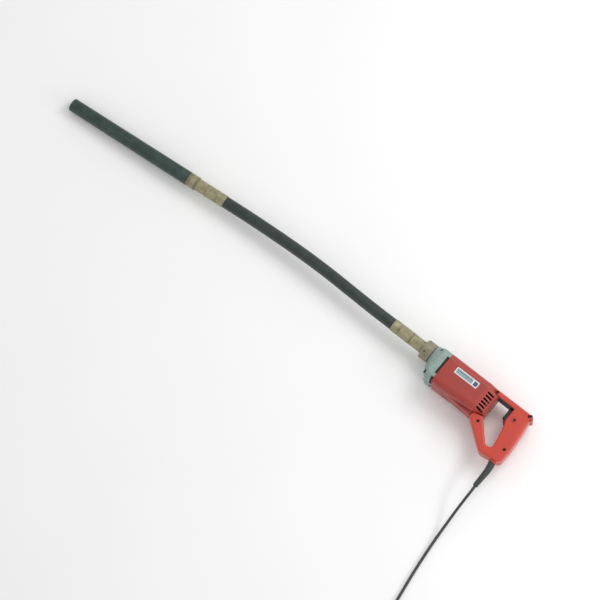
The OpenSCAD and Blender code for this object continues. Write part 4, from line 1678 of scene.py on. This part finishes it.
    def nut(self) -> None:
        """Makes the coupling nut with two spanner holes."""
        f, b = self.nut_front, self.cover_front
        profile = eased(
            [
                (f, 17.4, 0.4), (f, self.nut_r - 1.6, 0.6), (f + 1.6, self.nut_r, 0.8),
                (b - 2.2, self.nut_r, 0.8), (b - 0.6, self.nut_r - 1.4, 0.5),
                (b - 0.6, self.nose_r + 0.1, 0.2), (-62, self.nose_r + 0.1, 0.2), (-62, 17.4, 0.3),
            ],
            steps=3,
        )
        nut = Shell.turned(profile, sides=96).moved(ON_SPINDLE).piece("coupling_nut_turned", NUT_BRONZE)
        holes = []
        for angle in (115, 295):
            turn = Matrix.Rotation(math.radians(angle), 4, "X")
            hole = Shell.turned([(0, 0), (0, 2.5), (8, 2.5), (8, 0)], looped=False, sides=28)
            up = Matrix.Translation((f + 9, self.nut_r - 3, 0)) @ Matrix.Rotation(math.pi / 2, 4, "Z")
            holes.append(hole.moved(ON_SPINDLE @ turn @ up).piece("hole", NUT_BRONZE))
        carve(nut, holes)
        settle(nut, Carrier.MOTOR, ("coupling_nut",))

    def ferrules(self) -> None:
        """Makes the coupler and the crimped ferrule in front of it."""
        c, r = self.coupler_start, self.ferrule_r
        coupler = [
            (c, r - 2.2, 0.0, 0), (c + 2, r - 2.2, 0.0, 0), *band(c + 2.2, -76, r + 0.1, 1.1, 38),
            (-75.6, r - 0.9, 0, 0), (-60, r - 0.9, 0, 0),
        ]
        body = crimped(coupler, 8.0).moved(ON_SPINDLE).piece("drive_coupler_body", BRONZE, CRIMP_CREASE)
        settle(body, Carrier.MOTOR, ("drive_coupler",))
        s = self.ferrule_start
        rings = [
            *band(s, s + 20, r - 0.25, 1.0, 12), (s + 20.2, r - 2.4, 0, 0), (s + 22.8, r - 2.4, 0, 0),
            *band(s + 23, c, r, 1.0, 26),
        ]
        ferrule = crimped(rings, 13.5).moved(ON_SPINDLE).piece("drive_ferrule_crimped", BRONZE, CRIMP_CREASE)
        settle(ferrule, Carrier.MOTOR, ("drive_ferrule",))

    def build(self) -> None:
        """Makes the whole gear end."""
        self.cover()
        self.screws()
        self.nut()
        self.ferrules()


# ---- Handle and casing ----


@dataclass
class LoopHandle:
    """The two handle halves, with the trigger, the lock button and the screws."""

    half: float = 20.0
    wall: float = 3.0
    edge: float = 4.6
    gap: float = 0.15
    button: Vector = field(default_factory=lambda: Vector((225.0, 9.4, 0.0)))
    screws_at: tuple[Pair, ...] = ((146.5, 39.2), (155.0, -49.2), (248.0, 40.0), (253.0, -66.3))
    trigger_middle: float = 13.9

    @property
    def outline(self) -> Outline:
        """The loop, clockwise from the top arm's front, its rear side softer than the rest.

        Returns:
            The loop's outline.
        """
        return Outline(
            (
                Edge(136, 46.8, 0.0), Edge(250, 46.8, 3.0), Edge(257, 43, 4.0), Edge(261.5, 36, 4.5),
                Edge(256, 30.5, 6.0, 2.3), Edge(262, -14, 60.0, 2.3), Edge(265.5, -50, 60.0, 2.3),
                Edge(265.7, -94, 12.0, 1.2), Edge(257, -103, 12.0), Edge(231, -105.5, 20.0),
                Edge(215, -108.5, 16.0), Edge(203, -107.5, 14.0), Edge(166, -80, 40.0), Edge(128, -50.5, 0.0),
                Edge(128, -36, 0.0), Edge(158, -31, 10.0), Edge(171, -46, 30.0), Edge(187.5, -64, 60.0),
                Edge(205, -82.5, 9.0), Edge(214, -84.5, 7.0), Edge(222, -81, 5.0), Edge(224.5, -74, 5.0),
                Edge(220, -51, 60.0), Edge(217, -35, 60.0), Edge(211, -15, 20.0), Edge(206, -5.1, 5.0),
                Edge(206, 31.5, 1.5), Edge(136, 31.5, 0.0),
            )
        )

    def _cutters(self) -> list[bpy.types.Object]:
        """The hollow and the trigger's opening, for one half.

        Returns:
            The hollow and the opening.
        """
        flat = self.outline.ring(self.wall)
        rings = [[Vector((x, y, z)) for x, y in flat] for z in (-1.0, self.half - self.wall)]
        inner = Shell.loft(rings).piece("hollow", HANDLE_RED)
        low, high = self.trigger_middle - 17.5, self.trigger_middle + 17.5
        slot = rectangle(190, low, 211, high)
        opening = Shell.slab(slot, -1, 9.5, 0.0).piece("opening", HANDLE_RED)
        return [inner, opening]

    def _half(self, name: str) -> bpy.types.Object:
        """One half's solid, upper side up."""
        return Shell.slab(self.outline, self.gap, self.half, self.edge, 0.35, 6).piece(name, HANDLE_RED)

    def halves(self) -> None:
        """Makes both halves, hollow, and cuts the upper one's screw pockets and button hole."""
        upper = self._half("handle_half_upper")
        holes = [(x, y, 4.2, "pocket") for x, y in self.screws_at]
        holes.append((self.button.x, self.button.y, 4.0, "hole"))
        sunk = [
            Shell.turned([(0, 0), (0, r), (12, r), (12, 0)], looped=False, sides=36)
            .moved(Matrix.Translation((x, y, self.half - 6)) @ UPRIGHT)
            .piece(name, HANDLE_RED)
            for x, y, r, name in holes
        ]
        carve(upper, [*self._cutters(), *sunk])
        even_out(upper)
        settle(upper, Carrier.MOTOR, ("handle_upper_half",))
        lower = self._half("handle_half_lower")
        carve(lower, self._cutters())
        lower.data.transform(TO_ROW @ Matrix.Scale(-1, 4, (0, 0, 1)) @ TO_ROW.inverted())
        tidy(lower)
        crease_edges(lower, CREASE)
        even_out(lower)
        settle(lower, Carrier.MOTOR, ("handle_lower_half",))

    def screws(self) -> None:
        """Sets the four cross-slotted screws deep in their pockets."""
        profile = [(-12, 0, 0), (-12, 1.9, 0.4), (0, 1.9, 0), (0, 3.8, 0.3), (2.6, 3.4, 1.4), (2.6, 0, 0)]
        head = Shell.turned(eased(profile, closed=False), looped=False, sides=32)
        head = head.moved(ABOUT_ORIGIN @ UPRIGHT).piece("screw", BLACK_OXIDE)
        slots = []
        for wide, long in ((0.5, 2.3), (2.3, 0.5)):
            bar = Shell.slab(rectangle(-wide, -long, wide, long), 1.4, 4.0, 0.0)
            slots.append(bar.moved(ABOUT_ORIGIN).piece("slot", BLACK_OXIDE))
        carve(head, slots)
        points = [Vector((x, y, self.half - 6)) for x, y in self.screws_at]
        inputs = {"Piece": head, "Axis": (0, 0, 1), "Seed": 5}
        made = grow("handle_cross_screws", stud_tree(), inputs, BLACK_OXIDE, points)
        settle(made, Carrier.MOTOR, ("handle_screws",))

    def button_and_ring(self) -> None:
        """Makes the lock button and the raised ring that guards it."""
        upright = Matrix.Translation(self.button) @ UPRIGHT
        top = self.half
        ring = eased(
            [
                (top - 1.5, 4.0, 0), (top + 1.5, 4.0, 0.5), (top + 1.5, 7.0, 0.7), (top - 0.1, 7.6, 0),
                (top - 1.5, 7.6, 0),
            ],
            steps=4,
        )
        guard = Shell.turned(ring, sides=56).moved(upright).piece("button_guard", HANDLE_RED)
        settle(guard, Carrier.MOTOR)
        profile = [
            (9.6, 0, 0), (9.6, 2.5, 0.3), (13, 2.5, 0), (13, 3.5, 0.3), (top + 3, 3.5, 0.9),
            (top + 2.6, 0, 0),
        ]
        button = Shell.turned(eased(profile, closed=False), looped=False, sides=40)
        button = button.moved(upright).piece("lock_button_cap", BUTTON_PLASTIC)
        settle(button, Carrier.LOCK, ("lock_button",))

    def trigger(self) -> None:
        """Makes the trigger with its hollow for the finger and its grip ribs."""
        top, low = 30.7, -2.9
        shape = Outline(
            (
                Edge(194.2, top, 2.2), Edge(207, top, 0.4), Edge(207, low, 0.4), Edge(194.6, low, 3.0),
                Edge(195.6, 8.0, 24.0), Edge(195.4, 20.0, 24.0),
            )
        )
        body = Shell.slab(shape, -9, 9, 1.8, 1.8, 4).piece("trigger_lever_cap", BLACK_POLYAMIDE)
        even_out(body)
        settle(body, Carrier.TRIGGER, ("trigger",))
        bar = Shell.slab(rectangle(-0.5, -0.5, 0.5, 0.5, 0.2), -6.5, 6.5, 0.4, 0.4, 3)
        rib = bar.moved(Matrix.Translation((195.3, 20.0, 0))).piece("rib", BLACK_POLYAMIDE)
        ribs = in_a_row("trigger_grip_ribs", rib, 6, (0, -2.4 * MM, 0), BLACK_POLYAMIDE)
        settle(ribs, Carrier.TRIGGER)

    def trims(self) -> None:
        """Makes a black sheet of painted shade under the top arm, the lip below the trigger in a painted-shade
        brown, and the rear corner's bumper with a black plug of painted shade in its recess.
        """

        def trim(
            name: str, corners: Sequence[Cornered], half: float, edge: float, finish: Finish, slot: str
        ) -> None:
            """One small piece across the handle.

            Args:
                name: The piece's name.
                corners: Each corner's two places and radius.
                half: Half its height.
                edge: Its edges' radius.
                finish: Its finish.
                slot: Not used.
            """
            flat = Outline(tuple(Edge(*corner) for corner in corners))
            piece = Shell.slab(flat, -half, half, edge, edge, 3).piece(name, finish)
            even_out(piece)
            settle(piece, Carrier.MOTOR)

        # Painted shade: a thin black sheet under the top arm stands in for the shade inside the loop
        arm_shade_outline = [(150, 33, 0.3), (205.5, 33, 0.3), (205.5, 30.9, 0.3), (150, 30.9, 0.3)]
        trim("trigger_guard_strip", arm_shade_outline, 18.5, 0.4, BLACK_POLYAMIDE, "black_plastic")
        # The lip is real; its dark brown is painted shade
        lip = [(200.5, -4.0, 1.0), (209, -4.0, 0.4), (212, -12.5, 0.4), (203.5, -10.5, 1.5)]
        trim("trigger_lip", lip, 12.0, 1.0, BUTTON_PLASTIC, "black_plastic")
        bumper = [
            (252.2, 44.6, 1.0), (257.6, 43.4, 3.5), (262.2, 36, 4.2), (256.2, 29.8, 2.0), (252.6, 33.0, 2.0),
        ]
        trim("corner_bumper", bumper, self.half + 0.25, 2.6, CASING_RED, "casing_red")
        # Painted shade: a black plug fills the rear corner's recess, standing in for its shadow
        shaded_recess = [
            (248.5, 47.3, 0.6), (252.6, 47.2, 0.6), (256.4, 44.4, 0.8), (254.2, 41.4, 0.8),
            (249.6, 43.4, 0.8),
        ]
        trim("corner_insert", shaded_recess, self.half + 0.4, 0.8, BLACK_POLYAMIDE, "black_plastic")

    def build(self) -> None:
        """Makes the whole handle."""
        self.trims()
        self.halves()
        self.screws()
        self.button_and_ring()
        self.trigger()


@dataclass
class MotorCasing:
    """The red casing with its vents, keel and label."""

    length: float = 157.0
    height: float = 91.0
    depth: float = 88.0
    wall: float = 3.0
    vent_count: int = 6
    vent_pitch: float = 9.3

    def _rings(self, inset: float) -> list[list[Vector]]:
        """The casing's rings, level along the top, drawn in by a wall.

        Args:
            inset: How thick a wall the rings leave.

        Returns:
            The rings, from front to rear.
        """
        high = eased([(0, 91, 0), (54, 91, 60), (128, 86, 30), (145, 78, 14), (160, 75, 0)], closed=False)
        wide = eased([(0, 88, 0), (54, 88, 0), (127, 88, 10), (145, 68, 10), (160, 38, 0)], closed=False)
        round_ = eased([(0, 18, 0), (128, 18, 0), (145, 18, 4), (157, 9, 0), (160, 9, 0)], closed=False)
        stops = [2.0, 2.6, 3.4, 30, 48, 54, 60, 80, 100, 112, *range(118, 134, 3), 137]
        stops += [*range(141, 150, 2), 152, 155.4, 156.6, 157.0]
        if inset:
            stops = [0.0, *[x for x in stops[2:] if x < self.length - inset - 2], self.length - inset]
        rings = []
        for x in stops:
            h, w, r = read_off(high, x), read_off(wide, x), read_off(round_, x)
            trim = {2.0: 1.0, 2.6: 0.3, 156.6: 0.6, 157.0: 1.6}.get(x, 0.0)
            r = min(r, h / 2, w / 2) - inset
            drawn = 2 * (inset + trim)
            rings.append(rounded_ring(x, (self.height - h) / 2, h - drawn, w - drawn, max(r - trim, 0.6)))
        return rings

    def _vents(self) -> list[bpy.types.Object]:
        """The cutters of both rows of vents, from one tree.

        Returns:
            One cutter for each row.
        """
        slot = rectangle(-9, -2.6, 9, 2.6, 1.6)
        rows = []
        for low, high in ((20.0, 60.0), (-60.0, -20.0)):
            vent = Shell.slab(slot, low, high, 0.0, steps=3).moved(Matrix.Translation((140.5, 20.25, 0)))
            step = (0, -self.vent_pitch * MM, 0)
            rows.append(in_a_row("vents", vent.piece("vent", CASING_RED), self.vent_count, step, CASING_RED))
        return rows

    def _notch(self, side: int, grown: float) -> bpy.types.Object:
        """The corner that is left out beside the handle's arm, to reach its screw.

        Args:
            side: One for the upper side, minus one for the lower.
            grown: How much wider the notch is cut, to leave a wall beside it.

        Returns:
            The cutter.
        """
        x, y, z = 139.5 - grown, 30.2 - grown, 20.0 - grown
        flat = Outline((Edge(x, 60, 0), Edge(170, 60, 0), Edge(170, y, 0), Edge(x, y, 5.0)))
        low, high = (z, 60.0) if side > 0 else (-60.0, -z)
        return Shell.slab(flat, low, high, 0.0).piece("notch", CASING_RED)

    def shell(self, handle: LoopHandle) -> None:
        """Makes the casing: skin, keel, hollow, vents and the seat of the handle.

        Args:
            handle: The handle that the casing is seated on.
        """
        casing = Shell.loft(self._rings(0.0)).piece("casing_shell", CASING_RED)
        keel = Outline(
            (
                Edge(46, -34, 0), Edge(128, -34, 0), Edge(128, -50.5, 2), Edge(58, -46.2, 30),
                Edge(46, -44.0, 4),
            )
        )
        carve(casing, [Shell.slab(keel, -20, 20, 3.4, 3.4, 4).piece("keel", CASING_RED)], "UNION")
        hollow = Shell.loft(self._rings(self.wall)).piece("hollow", CASING_RED)
        notches = [self._notch(side, 0.0) for side in (1, -1)]
        carve(hollow, [self._notch(side, self.wall) for side in (1, -1)])
        flat = handle.outline.ring(-0.25)
        seat = Shell.loft([[Vector((x, y, z)) for x, y in flat] for z in (-20.3, 20.3)])
        seat = seat.piece("seat", CASING_RED)
        carve(casing, [hollow, *notches, *self._vents(), seat])
        even_out(casing)
        settle(casing, Carrier.MOTOR, ("motor_casing",))

    def label(self) -> None:
        """Makes the rating label: a foil plate, tinted panels and plain bars for its print."""
        top = self.depth / 2

        def plate(
            name: str, x0: float, x1: float, y0: float, y1: float, rise: float, finish: Finish
        ) -> None:
            """One flat panel of the label.

            Args:
                name: The panel's name.
                x0: Its front side.
                x1: Its rear side.
                y0: Its lower side.
                y1: Its upper side.
                rise: How far it stands up.
                finish: Its finish.
            """
            flat = rectangle(x0, y0, x1, y1, 1.2)
            panel = Shell.slab(flat, top - 0.3, top + rise, 0.08, 0.0, 3).piece(name, finish)
            even_out(panel)
            settle(panel, Carrier.MOTOR, ("rating_label",) if name == "label_plate" else ())

        plate("label_plate", 33, 103, 6.5, 24.5, 0.35, LABEL_FOIL)
        plate("label_panel_wide", 35.5, 86, 8.8, 22.2, 0.42, LABEL_TINT)
        plate("label_panel_end", 89.5, 100.6, 9.6, 21.6, 0.42, LABEL_INK)
        rows = [(18.2, 3.0, 4.6, 10), (13.6, 1.0, 3.4, 14), (11.2, 0.7, 3.4, 14)]
        for row, (y, high, pitch, count) in enumerate(rows, 1):
            wide = pitch * 0.32
            bar = Shell.slab(
                rectangle(-wide, -high / 2, wide, high / 2, 0.3), top, top + 0.47, 0.0, steps=2
            ).moved(Matrix.Translation((39.5, y, 0)))
            print_bar = bar.piece("bar", LABEL_INK)
            bars = in_a_row(f"label_print_row_{row}", print_bar, count, (pitch * MM, 0, 0), LABEL_INK)
            settle(bars, Carrier.MOTOR)

    def build(self, handle: LoopHandle) -> None:
        """Makes the casing and its label."""
        self.shell(handle)
        self.label()


# ---- The frame's own pieces ----


def dress_frame() -> None:
    """Gives every CAD node the finish of its material slot."""
    slots = {part["node"]: part["material_slot"] for part in frame["record"]["subparts"]}
    for name, piece in frame["nodes"].items():
        finish = SLOT_FINISHES[slots[name]]
        if finish.mapped:
            finish = replace(finish, title=finish.title + "_bare", mapped=False)
        piece.data.materials.clear()
        piece.data.materials.append(finish.material())


def main() -> None:
    """Builds the room, then each sub-assembly in order."""
    logging.basicConfig(level=logging.INFO, format="%(name)s: %(message)s")
    studio = Studio()
    studio.camera()
    MainsLead().build()
    dress_frame()
    studio.build()
    HoseRun().build()
    VibratingHead().build()
    GearEnd().build()
    handle = LoopHandle()
    handle.build()
    MotorCasing().build(handle)


if __name__ == "__main__":
    main()
